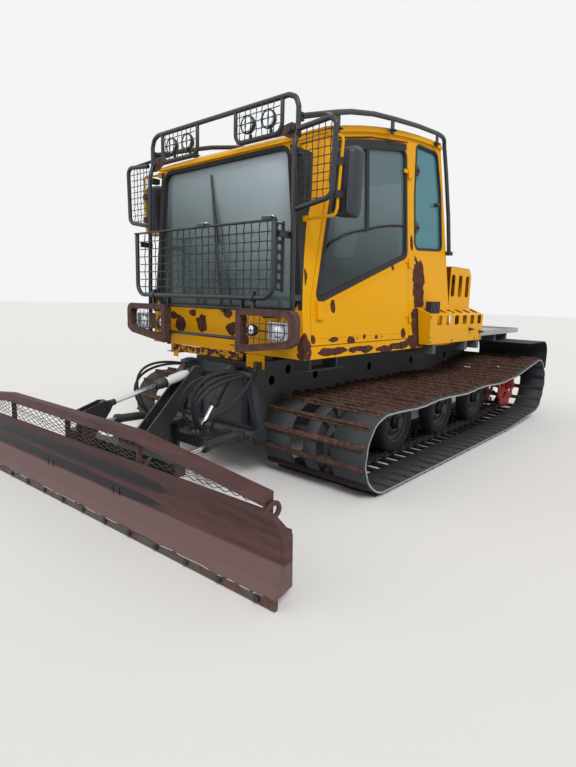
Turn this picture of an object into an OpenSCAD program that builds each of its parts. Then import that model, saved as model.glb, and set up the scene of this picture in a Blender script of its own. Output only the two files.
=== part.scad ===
// Compact snow groomer: two wide bar tracks, a two-seat cab with guards, a rear
// engine cover with a deck behind it, and a hydraulic front blade.
// +X is forward, +Y is the vehicle's left, +Z is up, and z = 0 is the ground.

/* [Tracks] */
// Inner end of the track bars, from the centre line
track_inner_y = 385; // [380:1:400]
// Outer edge of the outer belt, from the centre line
track_outer_y = 1300; // [1280:5:1330]
// How far the outer belt runs past the bar ends
belt_overhang = 25; // [10:1:40]
// Thickness of a rubber belt
belt_t = 12; // [10:1:14]
// Height of a bar below the belt
bar_h = 26; // [22:1:30]
// Width of a bar where it meets the belt
bar_base_w = 46; // [40:1:54]
// Width of a bar at its outer edge
bar_tip_w = 20; // [14:1:28]
// Number of bars on each track
bar_count = 60; // [56:1:62]
// How far the upper run hangs between two wheels
belt_sag = 16; // [8:1:24]

/* [Running gear] */
// Radius of a road wheel's tyre
wheel_r = 262; // [250:1:270]
// Width of a road wheel's tyre
wheel_w = 126; // [110:2:140]
// Distance between two road wheels
wheel_pitch = 850; // [820:5:870]
// Number of road wheels on each side
wheel_count = 4; // [4:1:4]
// Place of the front wheels along the vehicle
front_wheel_x = 1055; // [1040:1:1060]
// Place of the drive sprockets along the vehicle
sprocket_x = -2290; // [-2310:1:-2270]
// Height of the drive sprockets' centre
sprocket_z = 390; // [370:1:410]
// Radius of the belt's middle line around the sprocket
sprocket_belt_r = 302; // [290:1:310]
// Number of teeth on a sprocket
tooth_count = 13; // [11:1:15]
// Radius of an axle stub
stub_r = 30; // [26:1:32]

/* [Chassis] */
// Half width of the chassis tub
tub_half_w = 330; // [310:5:340]
// Height of the tub's underside
tub_low_z = 260; // [240:5:280]
// Height of the tub's top
tub_top_z = 840; // [830:1:850]
// Front face of the tub
tub_front_x = 1380; // [1375:1:1390]
// Rear face of the tub
tub_rear_x = -2480; // [-2500:5:-2460]
// Radius of the tow pin's bore at the rear
tow_bore_r = 20; // [16:1:24]

/* [Cab] */
// Underside of the cab
cab_low_z = 914; // [910:1:920]
// Half width of the cab at its underside
cab_half_w = 850; // [840:2:856]
// How far a side leans in for each unit of height
side_lean = 0.109; // [0.1:0.001:0.115]
// Thickness of a wall, a pillar and a door
wall_t = 42; // [38:1:46]
// Front face of the cab at its underside
cab_front_x = 1430; // [1420:1:1440]
// Rear face of the cab at its underside
cab_rear_x = -835; // [-845:1:-825]
// Rear face of the cab at its top
cab_rear_top_x = -725; // [-740:1:-715]
// Top of the windscreen opening
screen_top_z = 2275; // [2260:1:2290]
// Bottom of the windscreen opening
screen_low_z = 1235; // [1225:1:1260]
// Highest line of the side walls
cant_peak_z = 2728; // [2718:1:2738]
// Thickness of the roof panel over the side walls
roof_t = 42; // [36:1:48]
// Thickness of the glass
glass_t = 6; // [5:1:8]
// Running gap around a door
door_gap = 6; // [6:1:8]
// Rear edge of a door
door_rear_x = 20; // [10:1:30]
// Front edge of a door, low down
door_front_x = 1350; // [1340:1:1355]
// Lower edge of a door
door_low_z = 1005; // [1000:1:1015]
// How far the rear edge of a door leans back for each unit of height
door_rear_lean = 0.06; // [0.05:0.005:0.07]
// Width of the metal round a door's window
door_rim = 62; // [55:1:70]

/* [Engine cover] */
// Half width of the engine cover's lower box
cover_half_w = 950; // [940:1:955]
// Front face of the lower box
cover_front_x = -150; // [-160:1:-140]
// Rear face of the lower box
cover_rear_x = -1362; // [-1370:1:-1355]
// Underside of the lower box
cover_low_z = 946; // [940:1:950]
// Top of the lower box
cover_top_z = 1266; // [1255:1:1275]
// Half width of the hood above the lower box
hood_half_w = 790; // [780:1:800]
// Top of the hood
hood_top_z = 1665; // [1650:1:1680]
// Thickness of the cover's sheet
sheet_t = 6; // [5:1:8]

/* [Deck] */
// Half width of the rear deck
deck_half_w = 900; // [880:5:920]
// Rear edge of the deck
deck_rear_x = -2700; // [-2720:5:-2680]
// Top of the deck
deck_top_z = 1030; // [1020:1:1040]
// Thickness of the deck tray
deck_t = 55; // [50:1:60]

/* [Guards and lamps] */
// Radius of the guard tubes
guard_r = 17; // [15:1:19]
// Radius of the roof rail tubes
rail_r = 19; // [17:1:21]
// Place of the roof bar along the vehicle
bar_x = 1470; // [1465:1:1480]
// Half width of the roof bar
bar_half_w = 770; // [760:1:780]
// Height of the roof bar's upper tube
bar_top_z = 2560; // [2550:1:2570]
// Height of the lamp cages' lower tube
bar_low_z = 2343; // [2335:1:2350]
// Place of the windscreen guard along the vehicle
screen_guard_x = 1630; // [1625:1:1635]
// Half width of the windscreen guard
screen_guard_half_w = 735; // [725:1:745]
// Height of the windscreen guard's lower tube
screen_guard_low_z = 1312; // [1308:1:1320]
// Height of the windscreen guard's upper edge
screen_guard_top_z = 1795; // [1780:1:1810]
// Distance between two wires of a guard
mesh_pitch = 56; // [50:1:62]
// Width of a guard's wire
mesh_wire = 7; // [6:1:9]

/* [Blade] */
// Half width of the blade
blade_half_w = 1620; // [1600:5:1640]
// Turn of the blade to the left as it is parked
blade_yaw = 2.7; // [0:0.1:4]
// Thickness of the blade's plates
plate_t = 12; // [10:1:14]
// Height of the blade's lowest edge
edge_low_z = 6; // [5:1:10]
// Height of the curved plate's upper edge
mold_top_z = 470; // [460:1:480]
// Side of the square top rail
rail_w = 55; // [50:1:60]
// Height of the top rail's upper face
rail_top_z = 632; // [625:1:640]
// Half width of the top rail's level part
rail_level_half = 710; // [690:5:730]
// Drop of the top rail at its ends
rail_drop = 96; // [80:1:110]

/* [Blade hitch] */
// Place of the lift hinge along the vehicle
lift_x = 1520; // [1518:1:1524]
// Height of the lift hinge
lift_z = 330; // [326:1:334]
// Place of the turning pin along the vehicle
pin_x = 1920; // [1916:1:1924]
// Radius of the turning pin
pin_r = 25; // [22:1:28]
// Running gap round a pin
pin_gap = 0.08; // [0.06:0.01:0.1]
// Place of the pitch hinge along the vehicle
pitch_x = 2440; // [2436:1:2444]
// Height of the pitch hinge
pitch_z = 200; // [196:1:204]
// Gap between moving plates
side_gap = 6; // [5:1:7]

/* [Cylinders] */
// Radius of a cylinder's barrel
barrel_r = 32; // [28:1:34]
// Radius of a cylinder's rod
rod_r = 15; // [13:1:17]
// Running gap between a rod and its barrel
rod_gap = 0.1; // [0.08:0.01:0.14]
// Radius of an eye
eye_r = 28; // [26:1:30]
// Width of an eye
eye_w = 40; // [36:1:44]
// Distance of the pitch cylinder to the left of the centre line
pitch_cyl_y = 100; // [95:1:105]

/* [Hidden] */
$fn = 48;

yellow = "goldenrod";
steel_dark = "dimgray";
rust = "sienna";

// Track bands: inner edge, outer edge
BELTS = [[track_inner_y + 10, 660], [780, 890], [1020, track_outer_y]];
bar_outer_y = track_outer_y - belt_overhang;
wheel_y = (BELTS[1][0] + BELTS[1][1]) / 2;
wheel_z = bar_h + belt_t + wheel_r + 0.3;
belt_line_r = wheel_r + belt_t / 2 + 0.3;
ground_line_z = bar_h + belt_t / 2;
last_wheel_x = front_wheel_x - (wheel_count - 1) * wheel_pitch;

function arc_points(x, z, r, from, to, n) =
  [for (i = [0 : n - 1]) let (step = (to - from) / n, a = from + (i + 0.5) * step)
    [x + r / cos(step / 2) * cos(a), z + r / cos(step / 2) * sin(a)]];
run_dx = last_wheel_x - sprocket_x;
run_dz = wheel_z - sprocket_z;
// Slope of the lower run between the last wheel and the sprocket
rear_slope = atan2(-run_dz, run_dx) - asin((sprocket_belt_r - belt_line_r) / norm([run_dx, run_dz]));
crest_z = wheel_z + belt_line_r + 1.2;
// Where the upper run meets the sprocket
top_angle = 90 + atan2(crest_z - sprocket_z, run_dx) - asin(sprocket_belt_r / norm([run_dx,
  crest_z - sprocket_z]));
top_run = [for (i = [0 : 2 * (wheel_count - 1)])
  [front_wheel_x - i * wheel_pitch / 2, crest_z - (i % 2) * belt_sag]];
belt_line = concat(
  arc_points(front_wheel_x, wheel_z, belt_line_r, -90, 90, 8),
  top_run,
  arc_points(sprocket_x, sprocket_z, sprocket_belt_r, top_angle, 270 - rear_slope, 9),
  [[last_wheel_x - belt_line_r * tan(rear_slope / 2), ground_line_z]]
);
belt_n = len(belt_line);
function next_point(i) = belt_line[(i + 1) % belt_n];
function span(i) = norm(next_point(i) - belt_line[i]);
function sum_to(v, n) = n <= 0 ? 0 : v[n - 1] + sum_to(v, n - 1);
spans = [for (i = [0 : belt_n - 1]) span(i)];
starts = [for (i = [0 : belt_n]) sum_to(spans, i)];
belt_length = starts[belt_n];
bar_pitch = belt_length / bar_count;
function seg_at(s, i = 0) = s < starts[i + 1] || i >= belt_n - 1 ? i : seg_at(s, i + 1);

module both_sides() {
  children();
  mirror([0, 1, 0]) children();
}

module box(x, y, z) {
  translate([x[0], y[0], z[0]]) cube([x[1] - x[0], y[1] - y[0], z[1] - z[0]]);
}

// An outline in X and Z, from y[0] to y[1]
module side_plate(points, y) {
  translate([0, y[1], 0]) rotate([90, 0, 0]) linear_extrude(y[1] - y[0]) polygon(points);
}

// An outline in Y and Z, from x[0] to x[1]
module cross_plate(points, x) {
  translate([x[0], 0, 0]) rotate([90, 0, 90]) linear_extrude(x[1] - x[0]) polygon(points);
}

// Points that round off the corner b between a and c
function corner_arc(a, b, c, r, n) =
  let (u = (a - b) / norm(a - b), v = (c - b) / norm(c - b), h = acos(u * v) / 2,
       m = b + (u + v) / norm(u + v) * r / sin(h), s = b + u * r / tan(h) - m, e = b + v * r / tan(h) - m,
       turn = atan2(s[0] * e[1] - s[1] * e[0], s * e), a0 = atan2(s[1], s[0]))
  [for (i = [0 : n]) m + r * [cos(a0 + turn * i / n), sin(a0 + turn * i / n)]];
// An outline with its corners rounded, one radius for each corner
function rounded(p, r, n = 4) = [for (i = [0 : len(p) - 1]) each r[i] > 0
  ? corner_arc(p[(i + len(p) - 1) % len(p)], p[i], p[(i + 1) % len(p)], r[i], n) : [p[i]]];

module y_pin(x, z, r, y) {
  translate([x, y[0], z]) rotate([-90, 0, 0]) cylinder(r = r, h = y[1] - y[0]);
}

// How far a bend stands out of its tube
bend_bead = 0.8;

module tube(p, q, r) {
  d = q - p;
  translate(p) rotate([0, acos(d[2] / norm(d)), atan2(d[1], d[0])]) cylinder(r = r, h = norm(d));
}

module bent_tube(points, r) {
  for (i = [0 : len(points) - 2]) tube(points[i], points[i + 1], r);
  for (i = [1 : len(points) - 2]) translate(points[i]) sphere(r = r + bend_bead);
}

// Tracks

module belt_outline(grow) {
  // grow moves the outline out from the belt's middle line
  polygon([for (i = [0 : belt_n - 1])
    let (a = belt_line[(i + belt_n - 1) % belt_n], b = belt_line[i], c = next_point(i),
         u = (b - a) / norm(b - a), v = (c - b) / norm(c - b),
         m = [u[1] + v[1], -u[0] - v[0]], k = grow * 2 / (m * m))
      b + m * k]);
}

module bars() {
  for (i = [0 : bar_count - 1]) {
    s = (i + 0.5) * bar_pitch;
    k = seg_at(s);
    t = (s - starts[k]) / spans[k];
    p = belt_line[k] * (1 - t) + next_point(k) * t;
    d = next_point(k) - belt_line[k];
    side_plate([for (c = [[-bar_base_w, belt_t / 2 - 3], [bar_base_w, belt_t / 2 - 3],
                          [bar_tip_w, belt_t / 2 + bar_h], [-bar_tip_w, belt_t / 2 + bar_h]])
      p + d / norm(d) * c[0] / 2 + [d[1], -d[0]] / norm(d) * c[1]],
      [track_inner_y, bar_outer_y]);
  }
}

module track() {
  color(steel_dark) union() {
    bars();
    for (b = BELTS)
      translate([0, b[1], 0]) rotate([90, 0, 0]) linear_extrude(b[1] - b[0])
        difference() {
          belt_outline(belt_t / 2);
          belt_outline(-belt_t / 2);
        }
  }
}

module left_track() track();
module right_track() mirror([0, 1, 0]) track();

// Running gear

module wheel() {
  h = wheel_w / 2;
  rotate([90, 0, 0]) rotate_extrude($fn = 64) polygon([
    [stub_r + 0.3, -h], [95, -h], [110, -h / 2], [148, -h / 2], [160, -h * 0.85],
    [215, -h], [248, -h * 0.8], [wheel_r, -h * 0.4],
    [wheel_r, h * 0.4], [248, h * 0.8], [215, h], [160, h * 0.85],
    [148, h / 2], [110, h / 2], [95, h], [stub_r + 0.3, h]]);
}

module wheels() {
  color("darkslategray") both_sides()
    for (i = [0 : wheel_count - 1])
      translate([front_wheel_x - i * wheel_pitch, wheel_y, wheel_z]) wheel();
}

sprocket_rim_r = sprocket_belt_r - belt_t / 2 - 1;
tooth_root_r = sprocket_rim_r - 36;
hub_r = 75;
sprocket_plate_t = 18;
// Toothed plates: distance from the centre line
sprocket_plates = [720, 955];

module tooth_plate() {
  step = 360 / tooth_count;
  linear_extrude(sprocket_plate_t, center = true) difference() {
    polygon([for (i = [0 : tooth_count - 1])
      for (c = [[-0.36, tooth_root_r], [-0.2, sprocket_rim_r], [0.2, sprocket_rim_r],
                [0.36, tooth_root_r]])
        c[1] * [cos((i + c[0]) * step), sin((i + c[0]) * step)]]);
    for (i = [0 : 4]) rotate(i * 72) translate([160, 0]) circle(r = 46, $fn = 32);
  }
}

module sprockets() {
  color("firebrick") both_sides() translate([sprocket_x, 0, sprocket_z]) union() {
    for (y = sprocket_plates) translate([0, y, 0]) rotate([90, 0, 0]) tooth_plate();
    y_pin(0, 0, hub_r, [tub_half_w + 60.3, sprocket_plates[1] + 40]);
    y_pin(0, 0, 40, [sprocket_plates[1] + 30, sprocket_plates[1] + 70]);
  }
}

arm_back = 150;
arm_rise = 70;
arm_y = [wheel_y - wheel_w / 2 - 50, wheel_y - wheel_w / 2 - 10];
pivot_r = 45;

// A trailing arm with its pivot tube and axle stub, wheel centre at x
module trailing_arm(x) {
  px = x + arm_back;
  pz = wheel_z + arm_rise;
  y_pin(px, pz, pivot_r, [tub_half_w, arm_y[1]]);
  y_pin(x, wheel_z, stub_r + 20, arm_y);
  y_pin(x, wheel_z, stub_r, [arm_y[0], wheel_y + wheel_w / 2 + 12]);
  y_pin(x, wheel_z, stub_r + 16, [wheel_y + wheel_w / 2 + 0.3, wheel_y + wheel_w / 2 + 24]);
  tilt = atan2(arm_rise, arm_back);
  n = 38 * [-sin(tilt), cos(tilt)];
  side_plate([[x, wheel_z] + n, [x, wheel_z] - n, [px, pz] - n, [px, pz] + n], arm_y);
}

module axles() {
  color("black") both_sides() union() {
    for (i = [0 : wheel_count - 1]) trailing_arm(front_wheel_x - i * wheel_pitch);
    y_pin(sprocket_x, sprocket_z, 130, [tub_half_w, tub_half_w + 60]);
  }
}

// Chassis

tub_nose = 120;
tub_wall = 12;
plate_hole_r = 36;
// Round holes in the side plates: place along the vehicle, height
side_holes = [[1180, 690], [990, 760], [640, 690], [-200, 690], [-1040, 690], [-1880, 690]];
tow_x = tub_rear_x - 55;
tow_z = 420;
tow_plate_t = 22;
tow_jaw = 45;

module chassis() {
  color("gray") difference() {
    union() {
      side_plate([[tub_front_x - tub_nose, tub_low_z], [tub_front_x, tub_low_z + 60],
        [tub_front_x, tub_top_z], [tub_rear_x, tub_top_z],
        [tub_rear_x, tub_low_z + tub_nose], [tub_rear_x + tub_nose, tub_low_z]],
        [-tub_half_w, tub_half_w]);
      // Cab mounts
      for (x = [-560, 1130]) both_sides() box([x, x + 110], [180, 290], [tub_top_z - 1, cab_low_z]);
      // Deck bearers
      for (x = [-1520, -2060, -2420])
        box([x, x + 60], [-deck_half_w + 40, deck_half_w - 40],
          [fender_top_z + 0.3, deck_top_z - deck_t]);
      for (x = [-1520, -2060, -2420]) both_sides()
        box([x, x + 60], [220, 300], [tub_top_z - 1, fender_top_z + 1]);
      // Engine cover bearers
      for (x = [-300, -1000, -1300])
        box([x, x + 60], [-cover_half_w, cover_half_w], [tub_top_z + 20, cover_low_z - 40]);
      for (x = [-300, -1000, -1300]) both_sides() {
        box([x, x + 60], [220, 300], [tub_top_z - 1, tub_top_z + 21]);
        box([x, x + 60], [cab_half_w + 10, cover_half_w], [cover_low_z - 41, cover_low_z - 0.3]);
      }
      // Tow jaw
      for (s = [-1, 1]) translate([0, 0, tow_z + s * (tow_jaw + tow_plate_t) / 2])
        box([tow_x - 45, tub_rear_x + 1], [-60, 60], [-tow_plate_t / 2, tow_plate_t / 2]);
    }
    box([tub_rear_x + tub_wall, tub_front_x - tub_wall], [-tub_half_w + tub_wall, tub_half_w - tub_wall],
      [tub_low_z + tub_nose + 5, tub_top_z - tub_wall]);
    for (h = side_holes) both_sides()
      y_pin(h[0], h[1], plate_hole_r, [tub_half_w - tub_wall - 1, tub_half_w + 1]);
    translate([tow_x, 0, tow_z - 100]) cylinder(r = tow_bore_r, h = 200);
  }
}

upright_x = [1410, 1470];
upright_low = [500, 300];
upright_top = [360, 820];
upright_w = 56;
ear_t = 25;
hinge_tube_r = 42;
hinge_half = upright_low[0] - ear_t - side_gap;
lift_top = [1540, 800];
lift_cyl_y = 260;
eye_gap = 1;

module front_carrier() {
  color(steel_dark) difference() {
    union() {
      both_sides() {
        cross_plate([upright_low, upright_low - [upright_w, 0], upright_top - [upright_w, 0],
          upright_top], upright_x);
        // Ears of the lift hinge
        side_plate([[upright_x[0], lift_z - 55], [lift_x + 20, lift_z - 48], [lift_x + 48, lift_z],
          [lift_x + 20, lift_z + 48], [upright_x[0], lift_z + 55]],
          [upright_low[0] - ear_t, upright_low[0]]);
        // Ears of the lift cylinders
        for (s = [-1, 1]) translate([0, lift_cyl_y + s * (eye_w / 2 + eye_gap + 7), 0])
          side_plate([[upright_x[1] - 1, lift_top[1] - 40], [lift_top[0] + 16, lift_top[1] - 24],
            [lift_top[0] + 26, lift_top[1]], [lift_top[0] + 10, lift_top[1] + 20],
            [upright_x[1] - 1, lift_top[1] + 20]], [-7, 7]);
        // Pin heads of the lift cylinders
        for (s = [-1, 1]) y_pin(lift_top[0], lift_top[1], 14,
          [lift_cyl_y + s * (eye_w / 2 + eye_gap + 19) - 6,
            lift_cyl_y + s * (eye_w / 2 + eye_gap + 19) + 6]);
      }
      box(upright_x, [-320, 320], [740, 820]);
      box([upright_x[0], upright_x[1] - 10], [-460, 460], [300, 370]);
      box([tub_front_x, upright_x[0] + 1], [-300, -240], [330, 800]);
      box([tub_front_x, upright_x[0] + 1], [240, 300], [330, 800]);
    }
    // Bore of the lift hinge
    y_pin(lift_x, lift_z, pin_r + pin_gap, [-600, 600]);
  }
}

// Cab

function half_w(z) = cab_half_w - side_lean * (z - cab_low_z);
cant_peak_x = -900;
cant_k = 7.55e-5;
function cant_z(x) = cant_peak_z - cant_k * pow(x - cant_peak_x, 2);
header_x = 1170;
cant_n = 8;
// Upper edge of the side walls, from the header to the rear
cant_line = [for (i = [0 : cant_n]) let (x = header_x - (header_x - cab_rear_top_x) * i / cant_n)
  [x, cant_z(x)]];
function rear_x(z) = cab_rear_x + (cab_rear_top_x - cab_rear_x)
  * (z - cab_low_z) / (cant_z(cab_rear_top_x) - cab_low_z);
// Side outline of the cab below the roof
cab_side = concat([[cab_rear_x, cab_low_z], [cab_front_x, cab_low_z], [cab_front_x, screen_top_z + 19]],
  cant_line);
function cab_cross(d) = [[-half_w(cab_low_z) + d, cab_low_z - 1], [half_w(cab_low_z) - d, cab_low_z - 1],
  [half_w(2800) - d, 2800], [-half_w(2800) + d, 2800]];

// A thin leaned slab at the cab's side, from in to out of the outer face
module side_slab(in, out, z0 = 900, z1 = 2860) {
  cross_plate([[half_w(z0) - in, z0], [half_w(z0) + out, z0],
    [half_w(z1) + out, z1], [half_w(z1) - in, z1]], [-1000, 1600]);
}

module on_side(points, in, out) {
  intersection() {
    side_slab(in, out);
    side_plate(points, [500, 1000]);
  }
}

// Door outline; d moves it inwards
door_knee_z = 1290;
door_top_front_x = 985;
// How far the doorway's top lies under the cant line
door_drop = 28;
// The door's top edge needs more room, because it rises as the door swings
door_top_gap = 16;
function door_rear(z) = door_rear_x - door_rear_lean * (z - door_low_z);
door_back_top_x = door_rear(cant_z(-80) - door_drop);
function door_outline(d, drop) = [
  [door_rear(door_low_z + d) + d, door_low_z + d], [door_front_x - d, door_low_z + d],
  [door_front_x - 14 - d, door_knee_z], [door_top_front_x - d, cant_z(door_top_front_x) - drop],
  [480, cant_z(480) - drop],
  [door_rear(cant_z(door_back_top_x) - drop) + d, cant_z(door_back_top_x) - drop]];
window_low_front = [1270, 1300];
window_low_rear_z = 1700;
window_top_drop = 44 + door_rim;
function door_window(d) = rounded([
  [door_rear(window_low_rear_z) + door_rim * 0.5 + d, window_low_rear_z + d],
  [window_low_front[0] - d, window_low_front[1] + d * 2],
  [door_top_front_x - door_rim * 0.7 - d, cant_z(door_top_front_x) - window_top_drop - d],
  [480, cant_z(480) - window_top_drop - d],
  [door_rear(2540) + door_rim * 0.5 + d, cant_z(door_back_top_x) - window_top_drop - d]],
  [60, 30, 60, 0, 50]);
// Quarter window outline; d moves it inwards
function quarter_window(d) = rounded([
  [-145 - d, 1765 + d], [-175 - d, 2237], [-241 - d, cant_z(-241) - 30 - d],
  [-647 + d, cant_z(-647) - 44 - d], [-697 + d, 2323], [-690 + d, 1800 + d]], [60, 0, 60, 60, 0, 60]);
rear_window_half = 560;
rear_window_z = [1780, 2480];
function screen_outline(d) = rounded([
  [half_w(screen_low_z) - 36 - d, screen_low_z + d], [half_w(screen_top_z) - 36 - d, screen_top_z - d],
  [-half_w(screen_top_z) + 36 + d, screen_top_z - d], [-half_w(screen_low_z) + 36 + d, screen_low_z + d]],
  [80, 80, 80, 80], 6);

// Gap between the cab's panels
seam = 0.3;
panel_low_z = cab_low_z + wall_t + seam;
side_ends = [[rear_x(panel_low_z) + wall_t + seam, panel_low_z], [cab_front_x - wall_t - seam, panel_low_z],
  [cab_front_x - wall_t - seam, 2800], [rear_x(2800) + wall_t + seam, 2800]];
rear_panel = [[rear_x(panel_low_z) - 10, panel_low_z], [rear_x(panel_low_z) + wall_t, panel_low_z],
  [rear_x(2800) + wall_t, 2800], [rear_x(2800) - 10, 2800]];
header = [[cab_front_x - wall_t, screen_top_z], [cab_front_x - 0.5, screen_top_z],
  [cab_front_x - 0.5, screen_top_z + 19], [header_x, cant_z(header_x)],
  [header_x - wall_t / 2, cant_z(header_x) - wall_t / 2]];

module cab_floor() {
  color(yellow) intersection() {
    box([cab_rear_x, cab_front_x], [-900, 900], [cab_low_z, cab_low_z + wall_t]);
    cross_plate(cab_cross(0), [-900, 1500]);
  }
}

module cab_front() {
  color(yellow) union() {
    difference() {
      intersection() {
        box([cab_front_x - wall_t, cab_front_x], [-900, 900], [panel_low_z, screen_top_z + 19]);
        cross_plate(cab_cross(0), [-900, 1500]);
      }
      cross_plate(screen_outline(0), [cab_front_x - wall_t - 5, cab_front_x + 10]);
    }
    intersection() {
      side_plate(header, [-900, 900]);
      cross_plate(cab_cross(wall_t + seam), [-900, 1500]);
    }
  }
}

module cab_sides() {
  color(yellow) both_sides() difference() {
    intersection() {
      side_slab(wall_t, 0);
      side_plate(cab_side, [500, 1000]);
      side_plate(side_ends, [400, 1100]);
    }
    on_side(door_outline(-door_gap, door_drop), wall_t + 1, 20);
    on_side(quarter_window(0), wall_t + 1, 20);
  }
  color(yellow) both_sides() for (z = door_hinges) union() {
    hinge_knuckle(z, 1);
    on_side([[door_rear(z) - 66, z - hinge_h / 2 + 1], [door_rear(z) - door_gap - 1, z - hinge_h / 2 + 1],
      [door_rear(z) - door_gap - 1, z - 3], [door_rear(z) - 66, z - 3]], -0.2, 8);
  }
}

module cab_rear() {
  color(yellow) difference() {
    intersection() {
      side_plate(rear_panel, [-900, 900]);
      side_plate(cab_side, [-950, 950]);
      cross_plate(cab_cross(0), [-950, 1500]);
    }
    box([cab_rear_x - 10, cab_rear_top_x + wall_t + 60], [-rear_window_half, rear_window_half],
      rear_window_z);
  }
}

// How far the roof stands out past the side walls
roof_lip = 20;

module roof() {
  n = cant_n;
  lip_z = screen_top_z + 19.5 + seam;
  under = [for (p = cant_line) p + [0, seam]];
  top = [for (i = [n : -1 : 0]) let (x = 1100 - (1100 - cab_rear_top_x - 70) * i / n) [x,
    cant_z(x) + roof_t]];
  tail = [[cab_rear_top_x, cant_z(cab_rear_top_x) + seam], [cab_rear_top_x + 7,
    cant_z(cab_rear_top_x) + 14],
    [cab_rear_top_x + 30, cant_z(cab_rear_top_x) + 32]];
  nose = [[1190, cant_z(header_x) + 26], [1269, cant_z(header_x) - 7], [cab_front_x + 26, lip_z + 20],
    [cab_front_x + 26, lip_z], [cab_front_x - 0.5, lip_z]];
  color(yellow) intersection() {
    side_plate(concat(nose, [for (i = [0 : n - 1]) under[i]], tail, top), [-900, 900]);
    cross_plate([for (q = [[-1, 2250], [1, 2250], [1, 2860], [-1,
      2860]]) [q[0] * (half_w(q[1]) + roof_lip), q[1]]],
      [-900, 1500]);
  }
}

glass_fit = 0.3;

module cab_glass() {
  color("lightseagreen") {
    both_sides() on_side(quarter_window(glass_fit), wall_t / 2, -wall_t / 2 + glass_t);
    cross_plate(screen_outline(glass_fit), [cab_front_x - 34, cab_front_x - 34 + glass_t]);
    z0 = rear_window_z[0] + glass_fit;
    z1 = rear_window_z[1] - glass_fit;
    side_plate([[rear_x(z0) + 16, z0], [rear_x(z0) + 16 + glass_t, z0], [rear_x(z1) + 16 + glass_t, z1],
      [rear_x(z1) + 16, z1]], [-rear_window_half + glass_fit, rear_window_half - glass_fit]);
  }
}

// Doors

door_hinges = [1180, 1640, 2380];
hinge_out = 14;
hinge_r = 11;
hinge_h = 70;

module hinge_knuckle(z, part) {
  // part 0 is the door's half of the knuckle, part 1 the pillar's
  back = -atan(door_rear_lean);
  translate([door_rear(z) - door_gap / 2, half_w(z) + hinge_out, z])
    rotate([atan(side_lean * cos(back)), back, 0])
      translate([0, 0, part == 0 ? 1 : -hinge_h / 2]) cylinder(r = hinge_r, h = hinge_h / 2 - 1);
}

module door() {
  color(yellow) union() {
    difference() {
      on_side(door_outline(0, door_drop + door_top_gap), wall_t, 0);
      on_side(door_window(0), wall_t + 1, 20);
    }
    for (z = door_hinges) {
      hinge_knuckle(z, 0);
      on_side([[door_rear(z) - 2, z + 3], [door_rear(z) + 60, z + 3], [door_rear(z) + 60,
        z + hinge_h / 2 - 1],
        [door_rear(z) - 2, z + hinge_h / 2 - 1]], 1, 8);
    }
    // Handle
    on_side([[1230, 1180], [1290, 1180], [1290, 1300], [1230, 1300]], 1, 22);
  }
}

module door_glass() {
  color("lightseagreen") on_side(door_window(glass_fit), wall_t / 2, -wall_t / 2 + glass_t);
}

module left_door() door();
module right_door() mirror([0, 1, 0]) door();
module left_door_glass() door_glass();
module right_door_glass() mirror([0, 1, 0]) door_glass();

// Engine cover and deck

slot_w = 44;
slot_h = 78;
slot_count = 6;
hood_front_x = -860;

module cover_block(d) {
  // Lower box with its sloped shoulder, and the hood above it; d moves the faces inwards
  cross_plate([[-cover_half_w + d, cover_low_z - (d > 0 ? 1 : 0)], [cover_half_w - d,
    cover_low_z - (d > 0 ? 1 : 0)],
    [cover_half_w - d, cover_top_z - 60 - d * 0.4], [hood_half_w + 20 - d * 0.4, cover_top_z - d],
    [-hood_half_w - 20 + d * 0.4, cover_top_z - d], [-cover_half_w + d, cover_top_z - 60 - d * 0.4]],
    [cover_rear_x + d, cover_front_x - d]);
  side_plate([[cover_rear_x + d, cover_top_z - 100], [hood_front_x - d, cover_top_z - 100],
    [hood_front_x - d, hood_top_z - d], [cover_rear_x + 60 + d, hood_top_z - d],
    [cover_rear_x + d, hood_top_z - 70 - d]], [-hood_half_w + d, hood_half_w - d]);
}

module engine_cover() {
  color(yellow) difference() {
    cover_block(0);
    cover_block(sheet_t);
    // The cab stands in the front part
    box([cab_rear_x - 5, 100], [-cab_half_w - 5, cab_half_w + 5], [cover_low_z - 20, hood_top_z + 20]);
    both_sides() {
      for (i = [0 : slot_count - 1])
        box([cover_rear_x + 130 + i * 130, cover_rear_x + 130 + i * 130 + slot_w],
          [cover_half_w - sheet_t - 5, cover_half_w + 5], [1110, 1110 + slot_h]);
      for (i = [0 : 2])
        box([cover_rear_x + 120 + i * 115, cover_rear_x + 120 + i * 115 + slot_w],
          [hood_half_w - sheet_t - 5, hood_half_w + 5], [1370, 1600]);
    }
    for (i = [-3 : 3])
      box([cover_rear_x - 5, cover_rear_x + sheet_t + 5], [i * 180 - 70, i * 180 + 70], [1020, 1220]);
  }
}

module engine_block() {
  color(steel_dark) box([-1330, -900], [-330, 330], [cover_low_z - 39.7, 1540]);
}

module deck() {
  color("silver") difference() {
    box([deck_rear_x, cover_rear_x - 20], [-deck_half_w, deck_half_w], [deck_top_z - deck_t, deck_top_z]);
    box([deck_rear_x + 6, cover_rear_x - 26], [-deck_half_w + 6, deck_half_w - 6],
      [deck_top_z - 22, deck_top_z + 5]);
  }
}

fender_top_z = 892;
fender_t = 8;
fender_front_x = -2020;
fender_rear_x = -2755;
fender_curve_r = 170;
fender_low_z = 560;

module fender_outline(d) {
  // A flat top that bends down behind the track
  square_x = fender_rear_x + fender_curve_r;
  translate([square_x, fender_top_z - fender_curve_r]) circle(r = fender_curve_r - d, $fn = 64);
  translate([square_x, fender_low_z - 5]) square([fender_front_x - square_x + 5,
    fender_top_z - d - fender_low_z + 5]);
  translate([fender_rear_x + d, fender_low_z - 5]) square([fender_curve_r,
    fender_top_z - fender_curve_r - fender_low_z + 5]);
}

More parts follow.
